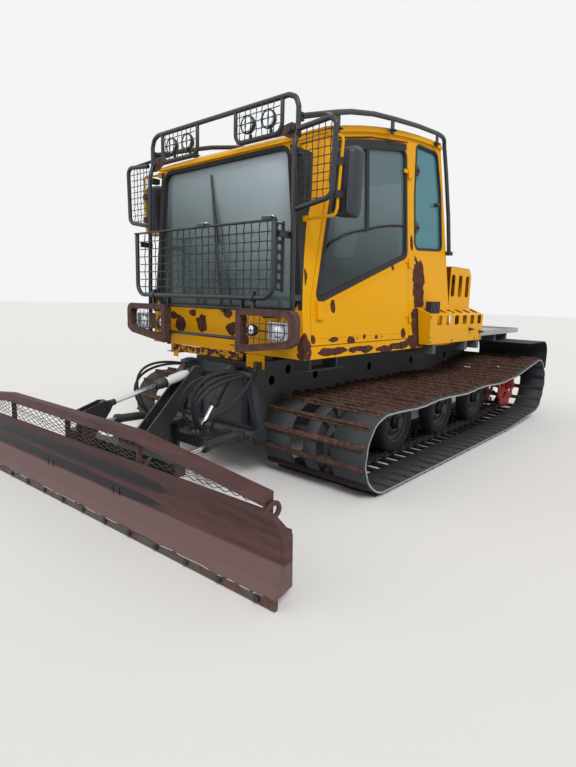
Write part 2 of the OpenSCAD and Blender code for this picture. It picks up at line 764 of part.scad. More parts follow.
module fenders() {
  color("black") both_sides() translate([0, 1250, 0]) rotate([90, 0, 0]) linear_extrude(830)
    intersection() {
      difference() {
        fender_outline(0);
        fender_outline(fender_t);
      }
      translate([fender_rear_x - 5, fender_low_z]) square([fender_front_x - fender_rear_x, 400]);
    }
}

// Inside the cab

module seat(y) {
  translate([0, y, 0]) {
    box([60, 400], [-150, 150], [cab_low_z + wall_t, 1180]);
    side_plate([[20, 1180], [540, 1180], [560, 1250], [540, 1300], [60, 1290], [20, 1260]], [-240, 240]);
    side_plate([[-20, 1250], [70, 1250], [60, 1300], [-40, 1780], [-80, 1960], [-150, 1960], [-160, 1760]],
      [-225, 225]);
  }
}

module seats() {
  color("darkslategray") for (y = [-390, 390]) union() seat(y);
}

module dashboard() {
  color("black") union() {
    side_plate([[1060, 1160], [1345, 1160], [1372, 1220], [1300, 1255], [1120, 1230]], [-700, 700]);
    box([1120, 1345], [-500, 500], [cab_low_z + wall_t, 1161]);
    // Lever column at the driver's right hand
    box([250, 620], [-60, 60], [cab_low_z + wall_t, 1240]);
    translate([520, 0, 1239]) cylinder(r = 12, h = 170);
    translate([520, 0, 1400]) sphere(r = 30);
    // Steering levers
    for (y = [300, 420]) tube([980, y, 1400], [1140, y, 1200], 12);
    for (y = [300, 420]) translate([980, y, 1400]) sphere(r = 22);
  }
}

// Roof rack and lamps

// Distance of a roof rail from the centre line
function rail_y(x) = 770 - 0.0395 * (1475 - x);
// Roof rail's line, along and up
rail_line = [[1440, 2428], [1181, 2515], [1041, 2561], [877, 2610], [575, 2678], [230, 2732], [-166, 2785],
  [-578, 2825], [-681, 2822], [-723, 2803]];
rack_post_x = 1500;

cage_in_y = 200;
cage_out_y = 635;

module lamp_bar() {
  top = bar_top_z;
  color("darkslategray") union() {
    // Upper tube with its ends
    bent_tube([[bar_x, -bar_half_w, bar_low_z], [bar_x, -bar_half_w, top - 80],
      [bar_x, -bar_half_w + 23, top - 23], [bar_x, -bar_half_w + 80, top], [bar_x, bar_half_w - 80, top],
      [bar_x, bar_half_w - 23, top - 23], [bar_x, bar_half_w, top - 80], [bar_x, bar_half_w, bar_low_z]],
        guard_r);
    both_sides() {
      // Loop round the lamps
      bent_tube([[bar_x, cage_out_y, top], [bar_x, cage_out_y, bar_low_z + 30], [bar_x, cage_out_y - 30,
        bar_low_z],
        [bar_x, cage_in_y + 70, bar_low_z], [bar_x, cage_in_y + 20, bar_low_z + 20],
        [bar_x, cage_in_y, bar_low_z + 70], [bar_x, cage_in_y, top]], guard_r - 3);
      // Plate from the loop to the post
      cross_plate([[cage_out_y - 40, bar_low_z - 6], [cage_out_y + 2, bar_low_z + 26], [bar_half_w,
        bar_low_z + 6],
        [bar_half_w, bar_low_z - 34]], [bar_x - 4, bar_x + 4]);
      // Posts down the front corners
      bent_tube([[bar_x, bar_half_w, bar_low_z - 5], [rack_post_x, bar_half_w, 2250],
        [rack_post_x, bar_half_w + 25, 1000]], guard_r);
      // Rests of the windscreen guard
      box([rack_post_x, screen_guard_x - guard_r - 6], [bar_half_w - 25, bar_half_w - 5], [1690, 1730]);
      // Brackets to the windscreen pillars
      for (z = [1300, 2200])
        box([cab_front_x + 0.3, rack_post_x], [half_w(z) - 34, bar_half_w + 10], [z, z + 40]);
    }
  }
}

// Brackets of a roof rail: place along, height of the foot
rail_feet = [[1040, 2446], [280, 2630], [-560, 2734]];

module roof_rails() {
  color("darkslategray") both_sides() union() {
    // Rail over the roof and down the rear corner
    bent_tube(concat([for (p = rail_line) [p[0], rail_y(p[0]), p[1]]],
      [[-755, 668, 2780], [-776, 698, 2536], [-802, 742, 2132], [-796, 779, 1785]]), rail_r);
    // Foot at the rear corner
    box([-835, rear_x(1765) - 0.5], [700, 800], [1765, 1805]);
    // Brackets to the roof
    for (f = rail_feet) let (x = f[0], z = f[1], y = rail_y(x)) {
      box([x, x + 40], [half_w(z) + roof_lip + 0.4, y], [z, z + 18]);
      box([x, x + 40], [y - 15, y - 1], [z, z + 92]);
    }
    // Clip on the lamp bar
    box([bar_x - 44, bar_x - guard_r - 0.3], [760, 780], [2400, 2450]);
  }
}

lamp_r = 62;
// Lamp cages on the roof bar: place across the vehicle
cage_y = [-417, 417];
cage_half_w = 212;

module cage_plate() {
  // A frame with upright and level wires
  difference() {
    square([2 * cage_half_w, 196], center = true);
    for (i = [-3 : 3]) for (k = [-1 : 1])
      translate([i * 58, k * 60]) square([58 - mesh_wire, 60 - mesh_wire], center = true);
  }
}

module bar_lamps() {
  front = bar_x + guard_r + 0.3;
  color("black") for (y = cage_y) translate([0, y, (bar_low_z + bar_top_z) / 2]) union() {
    translate([front, 0, 0]) rotate([90, 0, 90]) linear_extrude(mesh_wire) cage_plate();
    for (s = [-1, 1]) translate([bar_x - 40, s * 95, 0]) rotate([0, 90, 0]) cylinder(r = lamp_r, h = 50);
    for (s = [-1, 1]) translate([bar_x - 40, s * 95, 0]) rotate([0, 90, 0]) cylinder(r = 12, h = 60);
  }
}

side_guard_y = bar_half_w + guard_r + 7.6;

// Outline of a side guard: distance from the post, height
side_loop = [[0, 2336], [238, 2354], [272, 2340], [292, 2298], [275, 1947], [256, 1915], [219, 1905], [4,
  1868]];

module side_guards() {
  color("darkslategray") both_sides() {
    union() {
      bent_tube([for (p = side_loop) [rack_post_x, side_guard_y + p[0], p[1]]], guard_r);
      // Brace to the roof rail
      tube([1225, 797, 2492], [rack_post_x, side_guard_y + 245, 2354], 12);
    }
    // Wire panel on the back of the loop
    rotate([90, 0, 90]) translate([0, 0, rack_post_x - guard_r - bend_bead - 0.3 - mesh_wire])
      linear_extrude(mesh_wire) difference() {
        polygon([for (p = side_loop) [side_guard_y + p[0], min(p[1], 2352 - abs(p[0] - 238) * 0.1)]]);
        for (i = [0 : 3]) for (k = [0 : 6])
          translate([side_guard_y + 36 + i * 62, 1967 + k * 52]) square([62 - mesh_wire, 52 - mesh_wire],
            center = true);
      }
  }
}

// Front light guards: open loops with a mesh in front of the lamps
box_x = [1570, 1640];
box_top_z = 1240;
box_loop = rounded([[405, 943], [861, 1001], [925, 1036], [925, box_top_z], [405, box_top_z]], [12, 40, 30,
  60, 12], 3);
box_open = rounded([[449, 994], [846, 1044], [881, 1062], [881, box_top_z - 42], [449, box_top_z - 42]],
  [12, 20, 12, 30, 12], 3);

module light_boxes() {
  color(rust) both_sides() union() {
    difference() {
      cross_plate(box_loop, box_x);
      cross_plate(box_open, [box_x[0] - 5, box_x[1] + 5]);
    }
    // Mesh in front of the lamps
    translate([box_x[1] - 20, 0, 0]) rotate([90, 0, 90]) linear_extrude(mesh_wire) difference() {
      polygon(rounded([[445, 990], [850, 1040], [885, 1058], [885, box_top_z - 38], [445, box_top_z - 38]],
        [12, 20, 12, 30, 12], 3));
      for (i = [0 : 5]) for (k = [0 : 3])
        translate([485 + i * 71, 1022 + i * 3 + k * 48]) square([71 - mesh_wire, 48 - mesh_wire],
          center = true);
    }
    // Strap with the headlamp and the round lamp
    box([box_x[0] + 2, box_x[0] + 12], [445, 885], [1088, 1104]);
    box([box_x[0] - 45, box_x[0] + 36], [670, 840], [1035, 1165]);
    translate([box_x[0] - 30, 505, 1096]) rotate([0, 90, 0]) cylinder(r = 42, h = 60);
    // Flat bar at the inner end
    difference() {
      box([box_x[0] + 1, box_x[0] + 30], [407, 425], [930, 1328]);
      for (z = [960, 1270, 1305]) y_pin(box_x[0] + 15, z, 7, [400, 430]);
    }
    // Arms to the cab
    for (z = [980, 1180]) box([cab_front_x + 0.3, box_x[0] + 1], [600, 640], [z, z + 28]);
    // Hinge lug of the windscreen guard
    difference() {
      side_plate([[screen_guard_x - 28, box_top_z - 1], [screen_guard_x + 8, box_top_z - 1],
        [screen_guard_x + 26, screen_guard_low_z], [screen_guard_x + 18, screen_guard_low_z + 22],
        [screen_guard_x, screen_guard_low_z + 30], [screen_guard_x - 18, screen_guard_low_z + 22],
        [screen_guard_x - 26, screen_guard_low_z]], [guard_lug_y - 10, guard_lug_y + 10]);
      y_pin(screen_guard_x, screen_guard_low_z, guard_r + pin_gap, [guard_lug_y - 20, guard_lug_y + 20]);
    }
    // Cross tubes, each side its half
    for (z = [1032, 1237]) translate([box_x[0] + 15, 0, z]) rotate([-90, 0, 0]) cylinder(r = 13, h = 410);
  }
}

module mirrors() {
  color("black") both_sides() union() {
    side_plate([[1240, 1835], [1330, 1815], [1350, 1850], [1330, 2220], [1300, 2245], [1230, 2230]], [955,
      1135]);
    bent_tube([[1330, half_w(2260) + 1.6, 2260], [1330, 900, 2262], [1300, 1040, 2262]], 10);
    bent_tube([[1330, half_w(1800) + 1.6, 1800], [1330, 960, 1798], [1300, 1040, 1800]], 10);
    for (z = [1784, 2224]) translate([1300, 1040, z]) cylinder(r = 13, h = 60);
  }
}

module wiper() {
  color("black") union() {
    tube([cab_front_x + 0.3, 30, 1200], [cab_front_x + 30, 30, 1200], 18);
    bent_tube([[cab_front_x + 18, 30, 1200], [cab_front_x + 12, 45, 1500], [cab_front_x - 18, 62, 1760]],
      7);
    box([cab_front_x - 24, cab_front_x - 12], [54, 70], [1320, 2200]);
  }
}

module steps() {
  color("slategray") both_sides() union() {
    side_plate([[900, 830], [1330, 830], [1330, 824], [900, 824]], [640, 800]);
    for (x = [960, 1270]) side_plate([[x, 824], [x + 20, 824], [x + 20, cab_low_z], [x, cab_low_z]], [660,
      780]);
  }
}

// Windscreen guard, which tips forward about its lower tube

guard_lug_y = 560;
guard_axis_z = screen_guard_low_z;

module screen_guard() {
  x = screen_guard_x;
  w = screen_guard_half_w;
  color("darkslategray") {
    union() {
      bent_tube([[x, -w, screen_guard_top_z], [x, -w, guard_axis_z + 90], [x, -w + 26, guard_axis_z + 26],
        [x, -w + 90, guard_axis_z], [x, w - 90, guard_axis_z], [x, w - 26, guard_axis_z + 26],
        [x, w, guard_axis_z + 90], [x, w, screen_guard_top_z]], guard_r);
      box([x - 5, x + 5], [-w - 12, w + 12], [screen_guard_top_z - 22, screen_guard_top_z + 22]);
    }
    // Wire panel on the back of the frame
    rotate([90, 0, 90]) translate([0, 0, x - guard_r - bend_bead - 0.3 - mesh_wire])
      linear_extrude(mesh_wire) difference() {
      translate([-w, guard_axis_z + 36]) square([2 * w, screen_guard_top_z - guard_axis_z - 36]);
      for (i = [-12 : 12]) for (k = [0 : 7])
        translate([i * mesh_pitch, guard_axis_z + 72 + k * mesh_pitch])
          square(mesh_pitch - mesh_wire, center = true);
      for (s = [-1, 1]) translate([s * w, guard_axis_z]) rotate(45) square(150, center = true);
    }
  }
}

// Blade hitch

function rest_point(p) = [pin_x, 0] + [
  (p[0] - pin_x) * cos(blade_yaw) - p[1] * sin(blade_yaw),
  (p[0] - pin_x) * sin(blade_yaw) + p[1] * cos(blade_yaw)];

module parked_turn() {
  // The blade and its frame, turned about the pin as the vehicle is parked
  translate([pin_x, 0, 0]) rotate([0, 0, blade_yaw]) translate([-pin_x, 0, 0]) children();
}

jaw_z = [245, 415];
jaw_t = 24;
jaw_half = 55;
pin_tube_r = 50;
// Front face of the jaw's web
web_x = pin_x - pin_tube_r - side_gap;
push_arm_z = [290, 360];
push_arm_y = [225, 295];
lift_low = [1820, 400];
angle_rear = [1620, 455];
angle_front = [2220, 550];
angle_z = 372;

module push_frame() {
  color("black") difference() {
    union() {
      y_pin(lift_x, lift_z, hinge_tube_r, [-hinge_half, hinge_half]);
      for (s = [-1, 1]) y_pin(lift_x, lift_z, pin_r, s > 0 ? [hinge_half - 1, 515] : [-515,
        -hinge_half + 1]);
      both_sides() {
        box([lift_x, lift_low[0] + 46], push_arm_y, push_arm_z);
        // Ears of the lift cylinders
        for (s = [-1, 1]) translate([0, lift_cyl_y + s * (eye_w / 2 + eye_gap + 7), 0])
          side_plate([[lift_low[0] - 45, push_arm_z[1] - 1], [lift_low[0] + 45, push_arm_z[1] - 1],
            [lift_low[0] + 22, lift_low[1] + 22], [lift_low[0] - 22, lift_low[1] + 22]], [-7, 7]);
        // Plates under the turning cylinders' barrel ends
        box([lift_x, angle_rear[0] + 30], [angle_rear[1] - 30, angle_rear[1] + 18],
          [angle_z - eye_w / 2 - 18, angle_z - eye_w / 2 - 1]);
      }
      box([web_x - 64, web_x], [-350, 350], push_arm_z);
      // Jaw of the turning pin
      for (z = [jaw_z[0] - jaw_t, jaw_z[1]]) {
        box([web_x - 1, pin_x + 10], [-jaw_half, jaw_half], [z, z + jaw_t]);
        translate([pin_x + 10, 0, z]) cylinder(r = jaw_half, h = jaw_t);
      }
      box([web_x - 22, web_x], [-jaw_half, jaw_half], [jaw_z[0] - jaw_t, jaw_z[1] + jaw_t]);
      // Turning pin
      translate([pin_x, 0, jaw_z[0] - jaw_t - 10]) cylinder(r = pin_r,
        h = jaw_z[1] - jaw_z[0] + 2 * jaw_t + 20);
    }
  }
}

// The two points of each cylinder, from its barrel's eye to its rod's eye
lift_a = [lift_top[0], lift_cyl_y, lift_top[1]];
lift_b = [lift_low[0], lift_cyl_y, lift_low[1]];
tower_pivot = [1730, 790];
blade_eye = [2460, 640];
pitch_a = [tower_pivot[0], pitch_cyl_y, tower_pivot[1]];
pitch_b = [blade_eye[0], pitch_cyl_y, blade_eye[1]];
function angle_a(s) = [angle_rear[0], s * angle_rear[1], angle_z];
function angle_b(s) = concat(rest_point([angle_front[0], s * angle_front[1]]), [angle_z]);

// Turns a cylinder drawn along +X to run from a to b; the eyes' bores run along Y,
// or along Z where upright is true
module along(a, b, upright) {
  d = b - a;
  translate(a) rotate([0, 0, atan2(d[1], d[0])]) rotate([0, -asin(d[2] / norm(d)), 0])
    rotate([upright ? 90 : 0, 0, 0]) children();
}

module eye(x) {
  y_pin(x, 0, eye_r, [-eye_w / 2, eye_w / 2]);
}

module barrel(length) {
  // The barrel's eye is at the origin and its mouth at x = length
  difference() {
    union() {
      eye(0);
      rotate([0, 90, 0]) translate([0, 0, 15]) cylinder(r = barrel_r / 2, h = eye_r + 10);
      rotate([0, 90, 0]) translate([0, 0, eye_r + 22]) cylinder(r = barrel_r, h = length - eye_r - 22);
      rotate([0, 90, 0]) translate([0, 0, length - 45]) cylinder(r = barrel_r + 5, h = 36);
    }
    rotate([0, 90, 0]) translate([0, 0, eye_r + 30]) cylinder(r = rod_r + rod_gap, h = length);
  }
}

module rod(from, to) {
  // The rod's inner end is at from and its eye at to
  rotate([0, 90, 0]) translate([0, 0, from]) cylinder(r = rod_r, h = to - from);
  eye(to);
}

lift_len = norm(lift_b - lift_a);
lift_barrel_len = 300;
module lift_barrels() {
  color("black") both_sides() along(lift_a, lift_b, false) barrel(lift_barrel_len);
}

module lift_rods() {
  color("silver") both_sides() along(lift_a, lift_b, false) union() rod(165, lift_len);
}

angle_barrel_len = 410;
module angle_barrel(s) {
  color("black") along(angle_a(s), angle_b(s), true) barrel(angle_barrel_len);
}

module angle_rod(s) {
  color("silver") along(angle_a(s), angle_b(s), true) union()
    rod(s > 0 ? 205 : 245, norm(angle_b(s) - angle_a(s)));
}

module left_angle_barrel() angle_barrel(1);
module left_angle_rod() angle_rod(1);
module right_angle_barrel() angle_barrel(-1);
module right_angle_rod() angle_rod(-1);

pitch_barrel_len = 420;
module pitch_barrel() {
  color("white") parked_turn() along(pitch_a, pitch_b, false) barrel(pitch_barrel_len);
}

module pitch_rod() {
  color("silver") parked_turn() along(pitch_a, pitch_b, false) union() rod(150, norm(pitch_b - pitch_a));
}

tower_y = barrel_r + 5 + side_gap + 7;
pitch_ear_y = 360;
frame_half = 600;
frame_x = [2250, 2330];
frame_z = [262, 345];

// Foot of the tower plates, above the jaw
tower_foot = [2012, jaw_z[1] + jaw_t + 8];

module blade_frame() {
  color("black") parked_turn() difference() {
    union() {
      translate([pin_x, 0, jaw_z[0] + side_gap]) cylinder(r = pin_tube_r,
        h = jaw_z[1] - jaw_z[0] - 2 * side_gap);
      box([pin_x, 2130], [-45, 45], [jaw_z[0] + side_gap, jaw_z[1] - side_gap]);
      box([2010, 2260], [-70, 140], [jaw_z[0] + side_gap + 20, jaw_z[1] - side_gap]);
      box(frame_x, [-frame_half, frame_half], frame_z);
      both_sides() {
        // Stays from the centre box to the ends
        box([2120, 2260], [60, 220], [frame_z[0] + 10, frame_z[1] - 10]);
        // Ears of the pitch hinge
        side_plate([[frame_x[1] - 1, frame_z[0]], [pitch_x - 10, pitch_z - 36], [pitch_x + 28,
          pitch_z - 20],
          [pitch_x + 28, pitch_z + 22], [pitch_x, pitch_z + 40], [frame_x[1] - 1, frame_z[1]]],
          [pitch_ear_y, pitch_ear_y + 30]);
        // Plates under the turning cylinders' rod eyes
        box([angle_front[0] - 34, frame_x[0] + 1], [angle_front[1] - 36, angle_front[1] + 36],
          [angle_z - eye_w / 2 - 18, angle_z - eye_w / 2 - 1]);
      }
      // Tower of the pitch cylinder
      for (s = [-1, 1]) translate([0, pitch_cyl_y + s * tower_y, 0]) {
        side_plate([tower_foot, [2012, 380], [2200, 380], [2190, 440], [tower_pivot[0] + 60,
          tower_pivot[1] + 34],
          [tower_pivot[0] - 4, tower_pivot[1] + 36], [tower_pivot[0] - 32, tower_pivot[1] + 6],
          [tower_pivot[0] - 16, tower_pivot[1] - 26]], [-7, 7]);
        y_pin(tower_pivot[0], tower_pivot[1], 15, s > 0 ? [6, 16] : [-16, -6]);
        y_pin(tower_pivot[0], tower_pivot[1], 22, s > 0 ? [-tower_y + eye_w / 2 + eye_gap, 0]
          : [0, tower_y - eye_w / 2 - eye_gap]);
      }
      box([2010, 2070], [pitch_cyl_y - tower_y, pitch_cyl_y + tower_y], [470, 482]);
    }
    translate([pin_x, 0, 0]) cylinder(r = pin_r + pin_gap, h = 1000);
    y_pin(pitch_x, pitch_z, pin_r * 0.7 + pin_gap, [-500, 500]);
  }
}

// Blade

// Curved plate, front face from the bottom up: x, z
MOLD = [[2633, 50], [2599, 92], [2574, 187], [2587, 314], [2632, 405], [2677, mold_top_z]];
mold_n = len(MOLD);
rib_rear = [[2639, mold_top_z - 26], [2522, 320], [2514, 73]];
// Ribs behind the plate: distance from the centre line
ribs = [395, 800, 1210];
rail_x = [2622, 2622 + rail_w];

module mold_rear(y) {
  side_plate(concat(MOLD, rib_rear), y);
}

module rail() {
  y0 = rail_level_half;
  y1 = blade_half_w - 30;
  z0 = rail_top_z - rail_w;
  cross_plate([[-y1, z0 - rail_drop], [-y0, z0], [y0, z0], [y1, z0 - rail_drop],
    [y1, z0 - rail_drop + rail_w], [y0, rail_top_z], [-y0, rail_top_z], [-y1, z0 - rail_drop + rail_w]],
      rail_x);
}

// Ears on the blade's back for the pitch cylinder
module blade_ears() {
  for (s = [-1, 1]) translate([0, pitch_cyl_y + s * (eye_w / 2 + side_gap + 7), 0]) {
    side_plate([[rail_x[0] + 1, rail_top_z - 50], [rail_x[0] + 1, rail_top_z], [blade_eye[0] + 20,
      blade_eye[1] + 34],
      [blade_eye[0] - 20, blade_eye[1] + 30], [blade_eye[0] - 32, blade_eye[1]],
      [blade_eye[0] - 16, blade_eye[1] - 30], [2590, 420], [2630, 420]], [-7, 7]);
    y_pin(blade_eye[0], blade_eye[1], 15, s > 0 ? [6, 16] : [-16, -6]);
  }
}

module blade() {
  color(rust) parked_turn() union() {
    side_plate(concat(MOLD, [for (i = [mold_n - 1 : -1 : 0]) MOLD[i] - [plate_t, 0]]), [-blade_half_w,
      blade_half_w]);
    both_sides() {
      mold_rear([blade_half_w - plate_t, blade_half_w]);
      for (y = ribs) mold_rear([y, y + plate_t]);
      // Ears of the pitch hinge, either side of the frame's ear
      for (y = [pitch_ear_y - side_gap - 20, pitch_ear_y + 30 + side_gap])
        side_plate([[2580, 130], [pitch_x, pitch_z - 34], [pitch_x - 30, pitch_z - 16], [pitch_x - 30,
          pitch_z + 18],
          [pitch_x, pitch_z + 34], [2580, 300]], [y, y + 20]);
      y_pin(pitch_x, pitch_z, pin_r * 0.7, [pitch_ear_y - side_gap - 26, pitch_ear_y + 62]);
      // Posts under the top rail
      box([2630, 2660], [rail_level_half - 12, rail_level_half], [mold_top_z - 20,
        rail_top_z - rail_w + 1]);
      side_plate([[2622, 430], [2670, 430], [rail_x[1], rail_top_z - rail_drop - rail_w + 12], [rail_x[0],
        rail_top_z - rail_drop - rail_w + 12]],
        [blade_half_w - 42, blade_half_w - 30]);
    }
    box([2514, 2560], [-blade_half_w + 5, blade_half_w - 5], [90, 150]);
    box([2522, 2580], [-blade_half_w + 5, blade_half_w - 5], [300, 340]);
    box([2630, 2660], [-6, 6], [mold_top_z - 20, rail_top_z - rail_w + 1]);
    rail();
    blade_ears();
  }
}

screen_cell = [64, 34];
module blade_screen() {
  color(steel_dark) parked_turn() rotate([90, 0, 90]) translate([0, 0, 2664]) linear_extrude(5)
    difference() {
    w = rail_level_half - 14;
    translate([-w, mold_top_z + 1]) square([2 * w, rail_top_z - rail_w - mold_top_z - 1.3]);
    for (i = [-10 : 9]) for (k = [0 : 2])
      translate([(i + 0.5 + (k % 2) * 0.5) * (screen_cell[0] + 4) - 17,
        mold_top_z + 20 + k * screen_cell[1] * 0.95])
        polygon([[-screen_cell[0] / 2, 0], [0, -screen_cell[1] / 2 + 2], [screen_cell[0] / 2, 0], [0,
          screen_cell[1] / 2 - 2]]);
  }
}

module cutting_edge() {
  color("black") parked_turn() box([2612, 2632], [-blade_half_w, blade_half_w], [edge_low_z, 49.7]);
}

chassis();
front_carrier();
axles();
left_track();
right_track();
wheels();
sprockets();
cab_floor();
cab_front();
cab_sides();
cab_rear();
roof();
cab_glass();
engine_cover();
engine_block();
deck();
fenders();
seats();
dashboard();
lamp_bar();
roof_rails();
bar_lamps();
side_guards();
light_boxes();
mirrors();
wiper();
steps();
left_door();
left_door_glass();
right_door();
right_door_glass();
screen_guard();
push_frame();
lift_barrels();
lift_rods();
blade_frame();
left_angle_barrel();
left_angle_rod();
right_angle_barrel();
right_angle_rod();
pitch_barrel();
pitch_rod();
blade();
blade_screen();
cutting_edge();
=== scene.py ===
"""Looks for a compact snow groomer: weathered yellow cab, bar tracks, guards and a worn front blade."""
import math

import bmesh
import bpy
from mathutils import Matrix, Vector
from mathutils.geometry import tessellate_polygon


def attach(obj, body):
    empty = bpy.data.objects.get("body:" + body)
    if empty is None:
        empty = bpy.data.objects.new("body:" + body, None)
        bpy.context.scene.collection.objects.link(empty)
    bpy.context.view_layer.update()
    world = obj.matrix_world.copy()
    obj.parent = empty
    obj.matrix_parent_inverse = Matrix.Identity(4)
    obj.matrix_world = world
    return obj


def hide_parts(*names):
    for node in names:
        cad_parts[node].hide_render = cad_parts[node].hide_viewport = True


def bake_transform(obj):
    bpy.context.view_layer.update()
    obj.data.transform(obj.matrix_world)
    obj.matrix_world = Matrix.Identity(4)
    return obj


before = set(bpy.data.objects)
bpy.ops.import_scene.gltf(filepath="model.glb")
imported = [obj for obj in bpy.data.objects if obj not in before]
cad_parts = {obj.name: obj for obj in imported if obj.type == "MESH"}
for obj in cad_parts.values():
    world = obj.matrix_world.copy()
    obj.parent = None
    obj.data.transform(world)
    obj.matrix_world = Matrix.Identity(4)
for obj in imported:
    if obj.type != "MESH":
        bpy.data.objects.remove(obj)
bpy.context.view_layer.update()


def new_object(name, data):
    made = bpy.data.objects.new(name, data)
    bpy.context.scene.collection.objects.link(made)
    return made


# Camera, at the photograph's place and angle

CAMERA_PLACE = (4.027, 2.969, 1.320)
CAMERA_LENS_MM = 24.04
CAMERA_YAW, CAMERA_PITCH, CAMERA_ROLL = -139.002, -9.518, 1.646


def place_camera():
    yaw, pitch, roll = (math.radians(a) for a in (CAMERA_YAW, CAMERA_PITCH, CAMERA_ROLL))
    ahead = Vector((math.cos(pitch) * math.cos(yaw), math.cos(pitch) * math.sin(yaw), math.sin(pitch)))
    level = ahead.cross(Vector((0, 0, 1))).normalized()
    above = level.cross(ahead)
    right = level * math.cos(roll) + above * math.sin(roll)
    up = above * math.cos(roll) - level * math.sin(roll)
    lens = bpy.data.cameras.new("photo_camera")
    lens.lens = CAMERA_LENS_MM
    lens.sensor_width = 36.0
    lens.clip_end = 200.0
    camera = new_object("photo_camera", lens)
    turn = Matrix((right, up, -ahead)).transposed().to_4x4()
    camera.matrix_world = Matrix.Translation(CAMERA_PLACE) @ turn
    bpy.context.scene.camera = camera


place_camera()

# Shader helpers


def feed(tree, socket, value):
    """Links another socket to this one, or sets it to a plain value."""
    if isinstance(value, bpy.types.NodeSocket):
        tree.links.new(value, socket)
    else:
        socket.default_value = value


def add(tree, kind, inputs=None, **settings):
    """Adds a node with its settings, then feeds its inputs."""
    node = tree.nodes.new(kind)
    for key, value in settings.items():
        setattr(node, key, value)
    for key, value in (inputs or {}).items():
        feed(tree, node.inputs[key], value)
    return node


def calc(tree, operation, a, b=0.0, clamp=False):
    return add(tree, "ShaderNodeMath", {0: a, 1: b}, operation=operation, use_clamp=clamp).outputs[0]


def plus(tree, a, b, clamp=False):
    return calc(tree, "ADD", a, b, clamp)


def minus(tree, a, b, clamp=False):
    return calc(tree, "SUBTRACT", a, b, clamp)


def times(tree, a, b, clamp=False):
    return calc(tree, "MULTIPLY", a, b, clamp)


def larger(tree, a, b):
    return calc(tree, "MAXIMUM", a, b)


def ramp(tree, value, start, end):
    """0 at start and 1 at end."""
    return add(tree, "ShaderNodeMapRange", {"Value": value, "From Min": start, "From Max": end}).outputs[0]


def object_place(tree):
    return add(tree, "ShaderNodeTexCoord").outputs["Object"]


def split(tree, vector):
    return add(tree, "ShaderNodeSeparateXYZ", {0: vector}).outputs


def stretched(tree, place, scale):
    return add(tree, "ShaderNodeMapping", {"Vector": place, "Scale": scale}).outputs[0]


def noise(tree, place, scale, detail, roughness=0.5):
    return add(tree, "ShaderNodeTexNoise", {
        "Vector": place, "Scale": scale, "Detail": detail, "Roughness": roughness}).outputs["Fac"]


def rgba(colour, factor=1.0):
    return (*(c * factor for c in colour), 1.0)


def blend_colour(tree, mask, low, high):
    return add(tree, "ShaderNodeMix", {0: mask, 6: low, 7: high}, data_type="RGBA").outputs[2]


def new_group(name, inputs, outputs):
    """inputs: name, socket kind, default; outputs: name, socket kind."""
    group = bpy.data.node_groups.new(name, "ShaderNodeTree")
    for title, kind, default in inputs:
        socket = group.interface.new_socket(title, in_out="INPUT", socket_type=kind)
        socket.default_value = default
    for title, kind in outputs:
        group.interface.new_socket(title, in_out="OUTPUT", socket_type=kind)
    return group, group.nodes.new("NodeGroupInput").outputs, group.nodes.new("NodeGroupOutput").inputs


FLOAT, VECTOR, COLOUR = "NodeSocketFloat", "NodeSocketVector", "NodeSocketColor"


def patches_group():
    """Ragged patches at a given size; Cover is the share of the surface that they take."""
    group, given, out = new_group(
        "patches",
        [("Scale", FLOAT, 5.0), ("Cover", FLOAT, 0.3), ("Softness", FLOAT, 0.05),
         ("Offset", VECTOR, (0, 0, 0))],
        [("Mask", FLOAT)])
    moved = add(group, "ShaderNodeVectorMath", {0: object_place(group), 1: given["Offset"]}, operation="ADD")
    ragged = noise(group, moved.outputs[0], given["Scale"], 6.0, 0.62)
    start = minus(group, 0.72, times(group, given["Cover"], 0.44))
    group.links.new(ramp(group, ragged, start, plus(group, start, given["Softness"])), out["Mask"])
    return group


def near_group():
    """1 at Centre, falling to 0 at Reach along each axis."""
    group, given, out = new_group(
        "near_place", [("Centre", VECTOR, (0, 0, 0)), ("Reach", VECTOR, (1, 1, 1))], [("Near", FLOAT)])
    away = add(group, "ShaderNodeVectorMath", {0: object_place(group), 1: given["Centre"]},
               operation="SUBTRACT")
    scaled = add(group, "ShaderNodeVectorMath", {0: away.outputs[0], 1: given["Reach"]}, operation="DIVIDE")
    length = add(group, "ShaderNodeVectorMath", {0: scaled.outputs[0]}, operation="LENGTH").outputs["Value"]
    group.links.new(minus(group, 1.0, length, clamp=True), out["Near"])
    return group


def rust_group():
    """Brown to orange rust with a rough height."""
    group, given, out = new_group(
        "rust",
        [("Scale", FLOAT, 20.0), ("Dark", COLOUR, (0.09, 0.035, 0.025, 1)),
         ("Bright", COLOUR, (0.30, 0.12, 0.05, 1))],
        [("Color", COLOUR), ("Height", FLOAT)])
    broad = noise(group, object_place(group), given["Scale"], 8.0, 0.7)
    colour = blend_colour(group, ramp(group, broad, 0.38, 0.66), given["Dark"], given["Bright"])
    group.links.new(colour, out["Color"])
    group.links.new(broad, out["Height"])
    return group


def grime_group():
    """Dust on faces that look up, broken by noise."""
    group, given, out = new_group("grime", [("Amount", FLOAT, 0.3), ("Scale", FLOAT, 9.0)], [("Mask", FLOAT)])
    place = add(group, "ShaderNodeTexCoord").outputs
    up = split(group, place["Normal"])["Z"]
    broken = noise(group, place["Object"], given["Scale"], 7.0, 0.65)
    mask = ramp(group, plus(group, times(group, up, 0.35), broken), 0.45, 0.95)
    group.links.new(times(group, mask, given["Amount"], clamp=True), out["Mask"])
    return group


PATCHES, NEAR, RUST, GRIME = patches_group(), near_group(), rust_group(), grime_group()
DUST = (0.36, 0.30, 0.23)


def use(tree, group, **inputs):
    """The outputs of a group that is fed the given inputs."""
    return add(tree, "ShaderNodeGroup", inputs, node_tree=group).outputs


